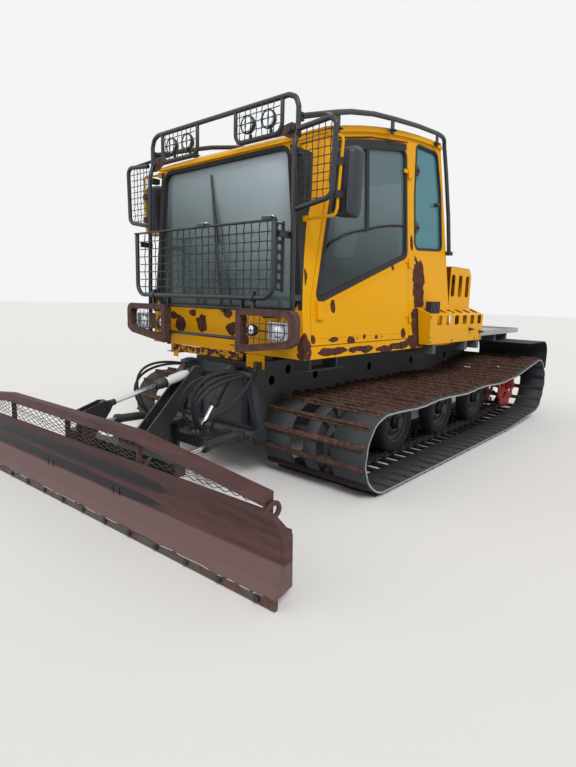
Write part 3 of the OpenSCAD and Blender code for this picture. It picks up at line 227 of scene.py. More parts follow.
def dusted(tree, colour, amount, **inputs):
    """The colour under dust, and where the dust lies."""
    grime = use(tree, GRIME, Amount=amount, **inputs)[0]
    return blend_colour(tree, grime, colour, rgba(DUST)), grime


def near_any(tree, places):
    """1 at the centre of any of the places, falling to 0 at its reach."""
    heavy = None
    for centre, reach in places:
        near = use(tree, NEAR, Centre=centre, Reach=reach)[0]
        heavy = near if heavy is None else larger(tree, heavy, near)
    return heavy


def new_material(name):
    material = bpy.data.materials.new(name)
    material.use_nodes = True
    tree = material.node_tree
    tree.nodes.clear()
    surface = tree.nodes.new("ShaderNodeBsdfPrincipled")
    out = tree.nodes.new("ShaderNodeOutputMaterial")
    tree.links.new(surface.outputs[0], out.inputs["Surface"])
    return material, tree, surface


def finish_surface(tree, surface, colour, roughness, height=None, depth=0.002, metallic=0.0):
    for name, value in (("Base Color", colour), ("Roughness", roughness), ("Metallic", metallic)):
        feed(tree, surface.inputs[name], value)
    if height is not None:
        bump = add(tree, "ShaderNodeBump", {"Height": height, "Strength": 0.5, "Distance": depth})
        tree.links.new(bump.outputs[0], surface.inputs["Normal"])


# Heights between which painted shade darkens the lowest bars, its strength and its colour
SHADE_FROM, SHADE_TO, SHADE_SHARE, SHADE_TONE = 0.30, 0.12, 0.85, (0.010, 0.009, 0.009, 1)


def worn_paint(name, paint, cover, size, gloss, dust, places=(), rust_size=22.0,
               dark=(0.055, 0.022, 0.018), bright=(0.125, 0.052, 0.038), shine=0.5, low_painted_shade=False):
    """Paint with ragged rust. cover and size: how much light rust there is, and its fineness.
    places: centre and reach of each spot where the rust is heavy."""
    material, tree, surface = new_material(name)
    mask = use(tree, PATCHES, Scale=size, Cover=cover, Softness=0.02)[0]
    if places:
        ragged = noise(tree, object_place(tree), 9.0, 5.0, 0.6)
        total = plus(tree, times(tree, near_any(tree, places), 0.85), times(tree, ragged, 0.9))
        mask = larger(tree, mask, ramp(tree, total, 0.84, 0.87))
    rust = use(tree, RUST, Scale=rust_size, Dark=rgba(dark), Bright=rgba(bright))
    tone = use(tree, PATCHES, Scale=2.3, Cover=0.9, Softness=0.5, Offset=(3.1, 1.7, 0.4))[0]
    faded = rgba(c * 0.92 + 0.004 for c in paint)
    painted = blend_colour(tree, mask, blend_colour(tree, tone, faded, rgba(paint)), rust["Color"])
    colour, grime = dusted(tree, painted, dust)
    rough = plus(tree, gloss, times(tree, larger(tree, mask, grime), 0.9 - gloss))
    height = minus(tree, times(tree, times(tree, rust["Height"], mask), 0.8), times(tree, mask, 0.9))
    # Painted shade: darker towards the bottom, where the lowest bars lie in shadow under the vehicle
    if low_painted_shade:
        shade = ramp(tree, split(tree, object_place(tree))["Z"], SHADE_FROM, SHADE_TO)
        colour = blend_colour(tree, times(tree, shade, SHADE_SHARE), colour, SHADE_TONE)
    finish_surface(tree, surface, colour, rough, height, 0.0015)
    surface.inputs["Specular IOR Level"].default_value = shine
    return material


# Painted fold shade: dark bands along the folds of the blade's plate, each a centre and reach
BLADE_FOLD_SHADE = [
    ((2.60, -0.90, 0.345), (0.50, 0.90, 0.080)), ((2.60, -0.10, 0.340), (0.50, 0.85, 0.074)),
    ((2.60, 0.45, 0.336), (0.50, 0.62, 0.070)), ((2.60, -0.90, 0.238), (0.50, 0.80, 0.052)),
    ((2.60, -0.10, 0.230), (0.50, 0.75, 0.048)), ((2.60, 0.42, 0.224), (0.50, 0.56, 0.044)),
]
# The parked blade's back is where x + BLADE_SLANT * y is under CLEVIS_X; the rail is above RAIL_Z
BLADE_SLANT, CLEVIS_X, RAIL_Z = 0.0472, 2.605, 0.500


def blade_paint():
    """Dull red-brown primer with scratches, black fittings at the back, blue-black bands of painted shade
    along the folds and a painted highlight on the lowest strip.
    """
    material, tree, surface = new_material("blade_maroon")
    place = object_place(tree)
    ragged = noise(tree, stretched(tree, place, (1.0, 0.35, 3.0)), 9.0, 7.0, 0.65)
    band = ramp(tree, plus(tree, times(tree, near_any(tree, BLADE_FOLD_SHADE), 1.6), ragged), 0.85, 1.00)
    colour = blend_colour(tree, ramp(tree, ragged, 0.35, 0.68), (0.060, 0.029, 0.029, 1),
                          (0.106, 0.051, 0.048, 1))
    scratch = noise(tree, stretched(tree, place, (6.0, 0.6, 30.0)), 3.0, 8.0, 0.75)
    scratches = ramp(tree, scratch, 0.60, 0.66)
    colour = blend_colour(tree, times(tree, scratches, 0.35), colour, (0.20, 0.11, 0.09, 1))
    # Painted shade: the bands darken the plate along its folds
    colour = blend_colour(tree, times(tree, band, 0.94), colour, (0.011, 0.012, 0.016, 1))
    # Painted highlight: the lowest strip and the fold above it are lighter, as where light catches the flange
    parts = split(tree, place)
    flange_highlight = ramp(tree, plus(tree, parts["Z"], times(tree, ragged, 0.030)), 0.212, 0.196)
    colour = blend_colour(tree, times(tree, flange_highlight, 0.7), colour, (0.165, 0.105, 0.100, 1))
    # The clevis at the back of the rail is black
    forward = plus(tree, parts["X"], times(tree, parts["Y"], BLADE_SLANT))
    behind = times(tree, calc(tree, "LESS_THAN", forward, CLEVIS_X),
                   calc(tree, "GREATER_THAN", parts["Z"], RAIL_Z))
    colour = blend_colour(tree, behind, colour, (0.014, 0.014, 0.016, 1))
    rough = minus(tree, 0.62, times(tree, band, 0.16))
    finish_surface(tree, surface, colour, rough, minus(tree, ragged, times(tree, scratches, 0.3)), 0.0012)
    surface.inputs["Specular IOR Level"].default_value = 0.25
    return material


def rough_rubber(name, colour, dust, fineness=60.0):
    material, tree, surface = new_material(name)
    grain = noise(tree, object_place(tree), fineness, 4.0)
    worn = blend_colour(tree, grain, rgba(colour, 0.75), rgba(colour, 1.3))
    finish_surface(tree, surface, dusted(tree, worn, dust, Scale=6.0)[0], 0.82, grain, 0.001)
    return material


def bare_metal(name, colour, rough, dust, brushed=(1.0, 1.0, 30.0)):
    material, tree, surface = new_material(name)
    grain = noise(tree, stretched(tree, object_place(tree), brushed), 14.0, 5.0)
    shade, grime = dusted(tree, blend_colour(tree, grain, rgba(colour, 0.8), rgba(colour)), dust)
    roughness = plus(tree, rough, times(tree, grain, 0.18))
    finish_surface(tree, surface, shade, roughness, grain, 0.0004, minus(tree, 1.0, grime, clamp=True))
    return material


# The windscreen is ahead of SCREEN_X; the quarter panes are behind QUARTER_X and farther out than QUARTER_Y
SCREEN_X, QUARTER_X, QUARTER_Y = 1.30, 0.0, 0.60


def milky_screen(tree, parts, grain, colour, alpha):
    """Adds the windscreen's milky film and the teal of the quarter panes."""
    front = calc(tree, "GREATER_THAN", parts["X"], SCREEN_X)
    across = plus(tree, times(tree, parts["Y"], 0.36), times(tree, parts["Z"], 0.62))
    milk = plus(tree, ramp(tree, across, 0.86, 1.52), minus(tree, grain, 0.06), clamp=True)
    film = blend_colour(tree, milk, (0.060, 0.105, 0.108, 1), (0.40, 0.48, 0.52, 1))
    colour = blend_colour(tree, front, colour, film)
    alpha = plus(tree, times(tree, alpha, minus(tree, 1.0, front)),
                 times(tree, front, plus(tree, 0.62, times(tree, milk, 0.30))), clamp=True)
    aside = times(tree, calc(tree, "LESS_THAN", parts["X"], QUARTER_X),
                  calc(tree, "GREATER_THAN", calc(tree, "ABSOLUTE", parts["Y"]), QUARTER_Y))
    colour = blend_colour(tree, aside, colour, (0.050, 0.205, 0.240, 1))
    return colour, larger(tree, alpha, times(tree, aside, 0.86))


def graded_glass(name, low, high, heights, clear, dirty, screen=False):
    """Glass whose film goes from low to high between two heights.
    clear and dirty are how solid the film is at each; screen is for the panes of the cab's body."""
    material, tree, surface = new_material(name)
    parts = split(tree, object_place(tree))
    cloud = use(tree, PATCHES, Scale=2.6, Cover=0.7, Softness=0.6)[0]
    streaks = use(tree, PATCHES, Scale=24.0, Cover=0.5, Softness=0.4)[0]
    grain = plus(tree, times(tree, cloud, 0.12), times(tree, streaks, 0.05))
    rise = plus(tree, ramp(tree, parts["Z"], *heights), minus(tree, grain, 0.08), clamp=True)
    colour = blend_colour(tree, rise, rgba(low), rgba(high))
    alpha = plus(tree, clear, times(tree, rise, dirty - clear), clamp=True)
    if screen:
        colour, alpha = milky_screen(tree, parts, grain, colour, alpha)
    finish_surface(tree, surface, colour, plus(tree, 0.05, times(tree, grain, 0.6)))
    tree.links.new(alpha, surface.inputs["Alpha"])
    surface.inputs["IOR"].default_value = 1.5
    surface.inputs["Specular IOR Level"].default_value = 0.3
    return material


def woven_cloth(name, colour):
    material, tree, surface = new_material(name)
    place = object_place(tree)
    threads = [add(tree, "ShaderNodeTexWave", {"Vector": place, "Scale": 170.0}, bands_direction=axis)
               for axis in ("Y", "Z")]
    weave = times(tree, *(thread.outputs["Fac"] for thread in threads))
    shade = blend_colour(tree, weave, rgba(colour, 0.6), rgba(colour, 1.4))
    finish_surface(tree, surface, shade, 0.9, weave, 0.0006)
    surface.inputs["Sheen Weight"].default_value = 0.3
    return material


def moulded_plastic(name, colour, rough, dust):
    material, tree, surface = new_material(name)
    cells = add(tree, "ShaderNodeTexVoronoi", {"Vector": object_place(tree), "Scale": 420.0})
    grain = cells.outputs["Distance"]
    shade, grime = dusted(tree, rgba(colour), dust)
    finish_surface(tree, surface, shade, plus(tree, rough, times(tree, grime, 0.3)), grain, 0.0003)
    return material


# Rust on the cab: centre and reach of each heavy place, in metres
CAB_RUST = [
    ((-0.19, 0.79, 1.42), (0.20, 0.30, 0.50)), ((-0.12, 0.83, 1.13), (0.16, 0.25, 0.26)),
    ((-0.24, 0.78, 1.55), (0.14, 0.25, 0.22)), ((-0.08, 0.85, 0.97), (0.24, 0.14, 0.13)),
    ((-0.32, 0.85, 0.98), (0.15, 0.12, 0.13)), ((-0.10, 0.76, 1.82), (0.05, 0.12, 0.12)),
    ((1.14, 0.86, 0.955), (0.30, 0.10, 0.055)), ((0.72, 0.86, 0.955), (0.34, 0.10, 0.060)),
    ((0.42, 0.86, 0.935), (0.24, 0.10, 0.045)), ((0.16, 0.86, 0.950), (0.34, 0.10, 0.055)),
    ((1.40, 0.84, 0.98), (0.10, 0.14, 0.14)),
    ((1.39, 0.80, 1.45), (0.07, 0.10, 0.12)), ((1.42, 0.80, 1.32), (0.05, 0.10, 0.10)),
    ((1.42, 0.76, 1.86), (0.05, 0.06, 0.42)), ((1.42, 0.72, 2.15), (0.05, 0.06, 0.16)),
    ((-0.18, -0.79, 1.36), (0.14, 0.25, 0.30)), ((0.45, -0.86, 0.955), (0.5, 0.10, 0.05)),
    ((-0.30, -0.85, 0.97), (0.16, 0.12, 0.12)),
]
# On the front panel: across and up, and the reach of each
FRONT_RUST = [((1.43, y, z), (0.09, wide, high)) for y, z, wide, high in (
    (-0.465, 1.084, 0.125, 0.115), (-0.202, 1.108, 0.130, 0.145), (0.138, 1.080, 0.110, 0.085),
    (0.109, 1.189, 0.100, 0.070), (-0.318, 1.181, 0.085, 0.050), (-0.565, 1.151, 0.105, 0.060),
    (-0.742, 1.080, 0.130, 0.120), (-0.672, 0.957, 0.125, 0.080), (-0.240, 0.943, 0.070, 0.030),
    (0.154, 0.942, 0.100, 0.040), (0.267, 0.988, 0.105, 0.120), (0.263, 1.151, 0.075, 0.100),
    (0.408, 1.206, 0.140, 0.035), (0.0, 1.228, 0.85, 0.022))]
FRONT_RUST += [((1.43, 0.833, 1.010), (0.12, 0.090, 0.130)), ((1.43, 0.795, 1.50), (0.06, 0.030, 0.10))]
DOOR_RUST = [
    ((0.245, 0.78, 1.595), (0.055, 0.12, 0.060)), ((1.090, 0.81, 1.275), (0.055, 0.12, 0.085)),
    ((1.330, 0.84, 1.046), (0.045, 0.12, 0.060)), ((1.094, 0.84, 1.040), (0.095, 0.12, 0.042)),
    ((0.882, 0.84, 1.026), (0.110, 0.12, 0.055)), ((0.706, 0.84, 1.042), (0.045, 0.12, 0.040)),
    ((0.533, 0.84, 1.034), (0.045, 0.12, 0.032)), ((0.10, 0.84, 1.05), (0.08, 0.12, 0.07)),
    ((0.55, -0.84, 1.03), (0.12, 0.12, 0.06)), ((1.05, -0.84, 1.05), (0.10, 0.12, 0.07)),
]
YELLOW, PAINT_SHINE = (0.80, 0.375, 0.0), 0.08

MATERIALS = {
    "cab_yellow": worn_paint("cab_yellow", YELLOW, 0.06, 4.0, 0.36, 0.0, CAB_RUST, shine=PAINT_SHINE),
    "front_yellow": worn_paint("front_yellow", YELLOW, 0.06, 4.0, 0.36, 0.0, FRONT_RUST, shine=PAINT_SHINE),
    "door_yellow": worn_paint("door_yellow", YELLOW, 0.02, 4.5, 0.36, 0.0, DOOR_RUST, shine=PAINT_SHINE),
    "cover_yellow": worn_paint("cover_yellow", YELLOW, 0.02, 6.0, 0.36, 0.01, shine=PAINT_SHINE),
    "sill_yellow": worn_paint("sill_yellow", (0.62, 0.27, 0.01), 0.55, 16.0, 0.5, 0.05, shine=0.1),
    # The chassis's grey paint is darkened further as painted shade, for the shadow under the cab's sill
    "frame_grey_painted_shade": worn_paint("frame_grey_painted_shade", (0.085, 0.089, 0.094), 0.12, 4.0, 0.6, 0.08, shine=0.2),
    "blue_black": worn_paint("blue_black", (0.012, 0.018, 0.030), 0.12, 7.0, 0.45, 0.08),
    "tube_black": worn_paint("tube_black", (0.012, 0.015, 0.020), 0.06, 9.0, 0.42, 0.05),
    "hitch_black": worn_paint("hitch_black", (0.012, 0.013, 0.016), 0.12, 8.0, 0.5, 0.10),
    "lamp_rust": worn_paint("lamp_rust", (0.050, 0.025, 0.022), 0.8, 8.0, 0.6, 0.03,
                            dark=(0.045, 0.020, 0.018), bright=(0.120, 0.052, 0.038)),
    "blade_maroon": blade_paint(),
    "edge_steel": worn_paint("edge_steel", (0.05, 0.047, 0.045), 0.4, 8.0, 0.5, 0.15),
    # The track bars get painted shade that darkens them towards the bottom
    "bar_rust": worn_paint("bar_rust", (0.050, 0.027, 0.024), 0.7, 10.0, 0.6, 0.03, rust_size=40.0,
                           dark=(0.028, 0.016, 0.015), bright=(0.165, 0.080, 0.056),
                           shine=0.25, low_painted_shade=True),
    "sprocket_red": worn_paint("sprocket_red", (0.40, 0.02, 0.02), 0.15, 9.0, 0.5, 0.3),
    "mesh_dark": worn_paint("mesh_dark", (0.035, 0.028, 0.026), 0.4, 12.0, 0.6, 0.05),
    "mesh_rust": worn_paint("mesh_rust", (0.048, 0.027, 0.025), 0.4, 12.0, 0.6, 0.05),
    "worn_line": worn_paint("worn_line", (0.42, 0.40, 0.37), 0.55, 6.0, 0.5, 0.0, rust_size=30.0),
    "cylinder_white": worn_paint("cylinder_white", (0.72, 0.72, 0.70), 0.06, 12.0, 0.35, 0.15),
    "belt_rubber": rough_rubber("belt_rubber", (0.027, 0.031, 0.039), 0.05),
    "belt_edge": rough_rubber("belt_edge", (0.30, 0.31, 0.31), 0.1, 25.0),
    "black_rubber": rough_rubber("black_rubber", (0.012, 0.012, 0.014), 0.06),
    "tyre_rubber": rough_rubber("tyre_rubber", (0.009, 0.009, 0.010), 0.03),
    "deck_alloy": bare_metal("deck_alloy", (0.50, 0.515, 0.53), 0.46, 0.3, (30.0, 1.0, 1.0)),
    "rod_chrome": bare_metal("rod_chrome", (0.78, 0.79, 0.80), 0.12, 0.05),
    "engine_iron": worn_paint("engine_iron", (0.05, 0.05, 0.05), 0.3, 9.0, 0.6, 0.4),
    "side_glass": graded_glass("side_glass", (0.020, 0.032, 0.036), (0.120, 0.200, 0.215), (1.45, 2.15),
                               0.72, 0.66),
    "cab_glass": graded_glass("cab_glass", (0.06, 0.14, 0.15), (0.10, 0.20, 0.21), (1.30, 2.20), 0.5, 0.5,
                              screen=True),
    "seat_cloth": woven_cloth("seat_cloth", (0.055, 0.06, 0.07)),
    "black_plastic": moulded_plastic("black_plastic", (0.018, 0.018, 0.02), 0.5, 0.15),
    "mirror_black": moulded_plastic("mirror_black", (0.018, 0.023, 0.036), 0.45, 0.03),
    "lamp_glass": bare_metal("lamp_glass", (0.66, 0.70, 0.72), 0.10, 0.12, (30.0, 30.0, 1.0)),
    "lamp_silver": bare_metal("lamp_silver", (0.50, 0.51, 0.54), 0.32, 0.15, (1.0, 1.0, 1.0)),
}

NODE_MATERIAL = {
    "chassis": "frame_grey_painted_shade", "front_carrier": "blue_black", "axles": "hitch_black",
    "left_track": "belt_rubber", "right_track": "belt_rubber",
    "wheels": "tyre_rubber", "sprockets": "sprocket_red",
    "cab_floor": "cab_yellow", "cab_front": "front_yellow", "cab_sides": "cab_yellow",
    "cab_rear": "cab_yellow", "roof": "cover_yellow", "cab_glass": "cab_glass",
    "engine_cover": "cover_yellow", "engine_block": "engine_iron", "deck": "deck_alloy",
    "fenders": "black_rubber", "seats": "seat_cloth", "dashboard": "black_plastic",
    "lamp_bar": "tube_black", "roof_rails": "tube_black", "bar_lamps": "tube_black",
    "side_guards": "tube_black", "light_boxes": "lamp_rust", "mirrors": "black_plastic",
    "wiper": "tube_black", "steps": "blue_black",
    "left_door": "door_yellow", "right_door": "door_yellow",
    "left_door_glass": "side_glass", "right_door_glass": "side_glass",
    "screen_guard": "tube_black", "push_frame": "hitch_black", "blade_frame": "hitch_black",
    "lift_barrels": "hitch_black", "lift_rods": "rod_chrome",
    "left_angle_barrel": "hitch_black", "left_angle_rod": "rod_chrome",
    "right_angle_barrel": "hitch_black", "right_angle_rod": "rod_chrome",
    "pitch_barrel": "cylinder_white", "pitch_rod": "rod_chrome",
    "blade": "blade_maroon", "blade_screen": "blade_maroon", "cutting_edge": "edge_steel",
}
for node_name, finish in NODE_MATERIAL.items():
    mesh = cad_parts[node_name].data
    mesh.materials.clear()
    mesh.materials.append(MATERIALS[finish])

# Sizes that the solids have too, in metres

CAB_FRONT_X = 1.430
WALL_HALF, WALL_LEAN, WALL_FOOT_Z = 0.850, 0.109, 0.914
ROOF_EDGE_Z, ROOF_BEND, ROOF_CREST_X = 2.728, 0.0755, -0.900
DOOR_REAR_X, DOOR_LEAN, DOOR_FOOT_Z = 0.020, 0.06, 1.005
BLADE_PIN_X, PARKED_TURN = 1.920, math.radians(2.7)
GUARD_TUBE = 0.0165
SIDES = ((1, "left"), (-1, "right"))


def half_w(z):
    """Half width of the cab's outside at a height."""
    return WALL_HALF - WALL_LEAN * (z - WALL_FOOT_Z)


def cant_z(x):
    """Height of the side wall's upper edge."""
    return ROOF_EDGE_Z - ROOF_BEND * (x - ROOF_CREST_X) ** 2


def door_rear(z):
    """Where the door's rear edge is at a height."""
    return DOOR_REAR_X - DOOR_LEAN * (z - DOOR_FOOT_Z)


def parked(point):
    """A point of the straight blade, turned about the pin as the vehicle is parked."""
    x, y, z = point[0] - BLADE_PIN_X, point[1], point[2]
    return Vector((BLADE_PIN_X + x * math.cos(PARKED_TURN) - y * math.sin(PARKED_TURN),
                   x * math.sin(PARKED_TURN) + y * math.cos(PARKED_TURN), z))


# Shape helpers


def on_side(side):
    """Along, up and outwards from the cab's leaning side."""
    return lambda u, v, w: Vector((u, side * (half_w(v) + w), v))


def on_front(x=CAB_FRONT_X):
    """Across, up and ahead of an upright plane."""
    return lambda u, v, w: Vector((x + w, u, v))


def upright(y, side):
    """Along, up and outwards from a lengthwise plane."""
    return lambda u, v, w: Vector((u, side * (y + w), v))


def crosswise(u, v, w):
    """Along, up and across the vehicle."""
    return Vector((u, w, v))


def mirrored(side):
    """A point on the vehicle's left, or its twin on the right where side is -1."""
    return lambda p: Vector((p[0], side * p[1], p[2]))


def sided(side, points):
    """The same for points given across and up."""
    return [(side * y, z) for y, z in points]


def about(axis, x, y, z, way=1):
    """The axis of a turned part, laid along x, y or z from a point; way -1 lays it backwards."""
    if axis == "x":
        return lambda a, u, v: Vector((x + way * a, y + u, z + v))
    if axis == "y":
        return lambda a, u, v: Vector((x + u, y + way * a, z + v))
    return lambda a, u, v: Vector((x + u, y + v, z + way * a))


def out_of(place, x, z):
    """The axis of a turned part, laid outwards from a point of a wall."""
    return lambda a, u, v: place(x + u, z + v, a)


def filleted(corners, radii, steps=5, closed=False):
    """The line through the corners, with each corner rounded off."""
    corners = [Vector(c) for c in corners]
    count, line = len(corners), []
    for i, corner in enumerate(corners):
        radius = radii[i] if isinstance(radii, (list, tuple)) else radii
        before, after = corners[i - 1] - corner, corners[(i + 1) % count] - corner
        half = before.angle(after) / 2
        if radius <= 0 or half > 1.56 or (not closed and i in (0, count - 1)):
            line.append(corner)
            continue
        reach = min(radius / math.tan(half), 0.49 * before.length, 0.49 * after.length)
        start, end = before.normalized() * reach, after.normalized() * reach
        middle = (start + end).normalized() * reach / math.cos(half)
        start, end = start - middle, end - middle
        turn = start.angle(end)
        for k in range(steps + 1):
            t = k / steps
            swung = (start * math.sin((1 - t) * turn) + end * math.sin(t * turn)) / math.sin(turn)
            line.append(corner + middle + swung)
    return line


def inset(outline, distance):
    """Moves each edge of an outline inwards, or outwards below zero."""
    points = [Vector(p) for p in outline]
    area = sum(a.x * b.y - b.x * a.y for a, b in zip(points, points[1:] + points[:1]))
    sign = 1 if area > 0 else -1
    moved = []
    for i, b in enumerate(points):
        u = (b - points[i - 1]).normalized()
        v = (points[(i + 1) % len(points)] - b).normalized()
        m = Vector((-u.y - v.y, u.x + v.x)) * sign
        moved.append(b + m * distance / (1 + u.dot(v)))
    return moved


def bands(rows, n, closed=False):
    """Faces between rows of n points each, with the last row joined to the first or with both ends capped."""
    loops = []
    for i in range(rows if closed else rows - 1):
        a, b = i * n, (i + 1) % rows * n
        loops += [[a + k, a + (k + 1) % n, b + (k + 1) % n, b + k] for k in range(n)]
    if not closed:
        loops += [list(range(n)), list(range((rows - 1) * n, rows * n))]
    return loops


class Form:
    """Closed solids of several finishes, gathered into one piece."""

    def __init__(self):
        self.mesh = bmesh.new()
        self.finishes = []

    def finish_index(self, finish):
        if finish not in self.finishes:
            self.finishes.append(finish)
        return self.finishes.index(finish)

    def shell(self, points, loops, finish, smooth=False, merge=False):
        index = self.finish_index(finish)
        verts = [self.mesh.verts.new(p) for p in points]
        faces = []
        for loop in loops:
            face = self.mesh.faces.new([verts[i] for i in loop])
            face.material_index = index
            face.smooth = smooth
            faces.append(face)
        if merge:
            bmesh.ops.remove_doubles(self.mesh, verts=verts, dist=0.00002)
            faces = [f for f in faces if f.is_valid]
        bmesh.ops.recalc_face_normals(self.mesh, faces=faces)

    def prism(self, outline, span, place, finish):
        """A solid from an outline in two directions and its span in the third."""
        n = len(outline)
        points = [place(p[0], p[1], w) for w in span for p in outline]
        loops = [list(range(n)), list(range(2 * n - 1, n - 1, -1))]
        loops += [[i, (i + 1) % n, n + (i + 1) % n, n + i] for i in range(n)]
        self.shell(points, loops, finish)

    def plate(self, outline, holes, span, place, finish):
        """A flat plate with openings."""
        lines = [outline] + holes
        flat = [p for line in lines for p in line]
        n = len(flat)
        triangles = tessellate_polygon([[Vector((p[0], p[1], 0)) for p in line] for line in lines])
        points = [place(p[0], p[1], w) for w in span for p in flat]
        loops = [list(t) for t in triangles] + [[i + n for i in t] for t in triangles]
        start = 0
        for line in lines:
            m = len(line)
            for i in range(m):
                a, b = start + i, start + (i + 1) % m
                loops.append([a, b, b + n, a + n])
            start += m
        self.shell(points, loops, finish)

    def block(self, low, high, finish, place=Vector):
        corners = [(low[0], low[1]), (high[0], low[1]), (high[0], high[1]), (low[0], high[1])]
        self.prism(corners, (low[2], high[2]), lambda u, v, w: place((u, v, w)), finish)

    def ring(self, outer, inner, span, place, finish):
        """A flat frame between two outlines with as many points each."""
        n = len(outer)
        points = [place(p[0], p[1], w) for w in span for line in (outer, inner) for p in line]
        loops = []
        for i in range(n):
            j = (i + 1) % n
            loops += [[i, j, n + j, n + i], [2 * n + i, 2 * n + j, 3 * n + j, 3 * n + i],
                      [i, j, 2 * n + j, 2 * n + i], [n + i, n + j, 3 * n + j, 3 * n + i]]
        self.shell(points, loops, finish)

    def tube(self, path, radius, finish, sides=12, closed=False, flat=1.0):
        path = [Vector(p) for p in path]
        count, points, across = len(path), [], None
        for i, here in enumerate(path):
            ahead = path[(i + 1) % count] - here if closed or i < count - 1 else here - path[i - 1]
            behind = here - path[i - 1] if closed or i else ahead
            along = (ahead.normalized() + behind.normalized()).normalized()
            across = along.orthogonal() if across is None else across - along * across.dot(along)
            across.normalize()
            other = along.cross(across)
            size = radius[i] if isinstance(radius, (list, tuple)) else radius
            for k in range(sides):
                angle = 2 * math.pi * k / sides
                points.append(here + (across * math.cos(angle) + other * math.sin(angle) * flat) * size)
        self.shell(points, bands(count, sides, closed), finish, True)

    def turned(self, profile, place, finish, sides, smooth=True):
        """profile: along the axis and away from it, from one end of the axis to the other."""
        turns = [2 * math.pi * k / sides for k in range(sides)]
        points = [place(along, radius * math.cos(t), radius * math.sin(t)) for along, radius in profile
                  for t in turns]
        self.shell(points, bands(len(profile), sides), finish, smooth)

    def revolved(self, profile, place, finish, sides):
        """A ring from a closed profile: along the axis and away from it."""
        points = []
        for k in range(sides):
            c, s = math.cos(2 * math.pi * k / sides), math.sin(2 * math.pi * k / sides)
            points += [place(along, radius * c, radius * s) for along, radius in profile]
        self.shell(points, bands(sides, len(profile), True), finish, True)

    def holed_strip(self, count, cell, hole, place, thick, finish):
        """A flat bar of cells in a row, each with a round hole; place takes across, along and thickness."""
        square = [(u * cell[0] / 2, v * cell[1] / 2)
                  for u, v in ((1, 0.5), (1, 1), (0.5, 1), (-0.5, 1), (-1, 1), (-1, 0.5),
                               (-1, -0.5), (-1, -1), (-0.5, -1), (0.5, -1), (1, -1), (1, -0.5))]
        circle = [(hole * math.cos(math.radians(a)), hole * math.sin(math.radians(a)))
                  for a in range(15, 360, 30)]
        points, loops = [], []
        for row in range(count):
            rise = (row + 0.5) * cell[1]
            base = len(points)
            points += [place(u, v + rise, w)
                       for w in (0, thick) for line in (square, circle) for u, v in line]
            for k in range(12):
                m = (k + 1) % 12
                a, b = base + k, base + m
                loops += [[a, b, b + 12, a + 12], [a + 24, b + 24, b + 36, a + 36],
                          [a + 12, b + 12, b + 36, a + 36]]
                # Two cells share no wall where they meet
                ends = (square[k][1] + square[m][1]) / cell[1]
                inner = (ends > 0.99 and row < count - 1) or (ends < -0.99 and row)
                if not inner:
                    loops.append([a, b, b + 24, a + 24])
        self.shell(points, loops, finish, merge=True)

    def piece(self, name, slot, body="vehicle", replaces=(), bevel=0.0):
        data = bpy.data.meshes.new(name)
        self.mesh.to_mesh(data)
        self.mesh.free()
        for finish in self.finishes:
            data.materials.append(MATERIALS[finish])
        made = new_object(name, data)
        if bevel:
            edges = made.modifiers.new("edges", "BEVEL")
            edges.width, edges.segments, edges.angle_limit = bevel, 2, math.radians(50)
        if body:
            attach(made, body)
        if replaces:
            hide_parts(*replaces)
        return made


def crossing(outline, axis, value):
    """Where a line across an outline enters and leaves it."""
    hits = []
    for a, b in zip(outline, outline[1:] + outline[:1]):
        if (a[axis] - value) * (b[axis] - value) < 0:
            hits.append(a[1 - axis] + (b[1 - axis] - a[1 - axis]) * (value - a[axis]) / (b[axis] - a[axis]))
    return (min(hits), max(hits)) if len(hits) > 1 else None


SHORTEST_WIRE = 0.02


def wire_cloth(form, outline, pitch, radius, place, finish):
    """Crimped wires woven over and under each other, across an outline."""
    lows = [min(p[a] for p in outline) for a in (0, 1)]
    highs = [max(p[a] for p in outline) for a in (0, 1)]
    counts = [max(2, round((highs[a] - lows[a]) / pitch[a])) for a in (0, 1)]
    steps = [(highs[a] - lows[a]) / counts[a] for a in (0, 1)]
    for axis in (0, 1):
        for i in range(1, counts[axis]):
            value = lows[axis] + i * steps[axis]
            span = crossing(outline, axis, value)
            if span is None or span[1] - span[0] < SHORTEST_WIRE:
                continue
            count = max(2, round(2 * (span[1] - span[0]) / steps[1 - axis]))
            path = []
            for k in range(count + 1):
                t = span[0] + (span[1] - span[0]) * k / count
                over = math.cos(math.pi * ((t - lows[1 - axis]) / steps[1 - axis] + i + axis)) * radius
                path.append(place(value, t, over) if axis == 0 else place(t, value, over))
            form.tube(path, radius, finish, sides=5)


# Fasteners of each body: place, the way the head faces, and size
BOLTS = {}


def bolt(body, point, facing, size):
    BOLTS.setdefault(body, []).append((Vector(point), Vector(facing).normalized(), size))


# Windscreen, quarter windows and their rubbers

SCREEN_LINE = [(across * (half_w(z) - 0.036), z)
               for across, z in ((-1, 1.235), (1, 1.235), (1, 2.275), (-1, 2.275))]
QUARTER_CORNERS = [(-0.145, 1.765), (-0.175, 2.237), (-0.241, cant_z(-0.241) - 0.030),
                   (-0.647, cant_z(-0.647) - 0.044), (-0.697, 2.323), (-0.690, 1.800)]
QUARTER_RADII = (0.060, 0, 0.060, 0.060, 0, 0.060)
# The dark surround that wraps round the cab's front corner, wider towards the top
SURROUND = [(1.4305, 1.24), (1.430, 1.24), (1.412, 1.40), (1.381, 1.60), (1.344, 1.80), (1.280, 1.95),
            (1.258, 2.10), (1.234, 2.27), (1.4305, 2.27)]
SURROUND_FRONT = ((1.24, 0.030), (2.28, 0.030), (2.28, -0.001), (1.24, -0.001))


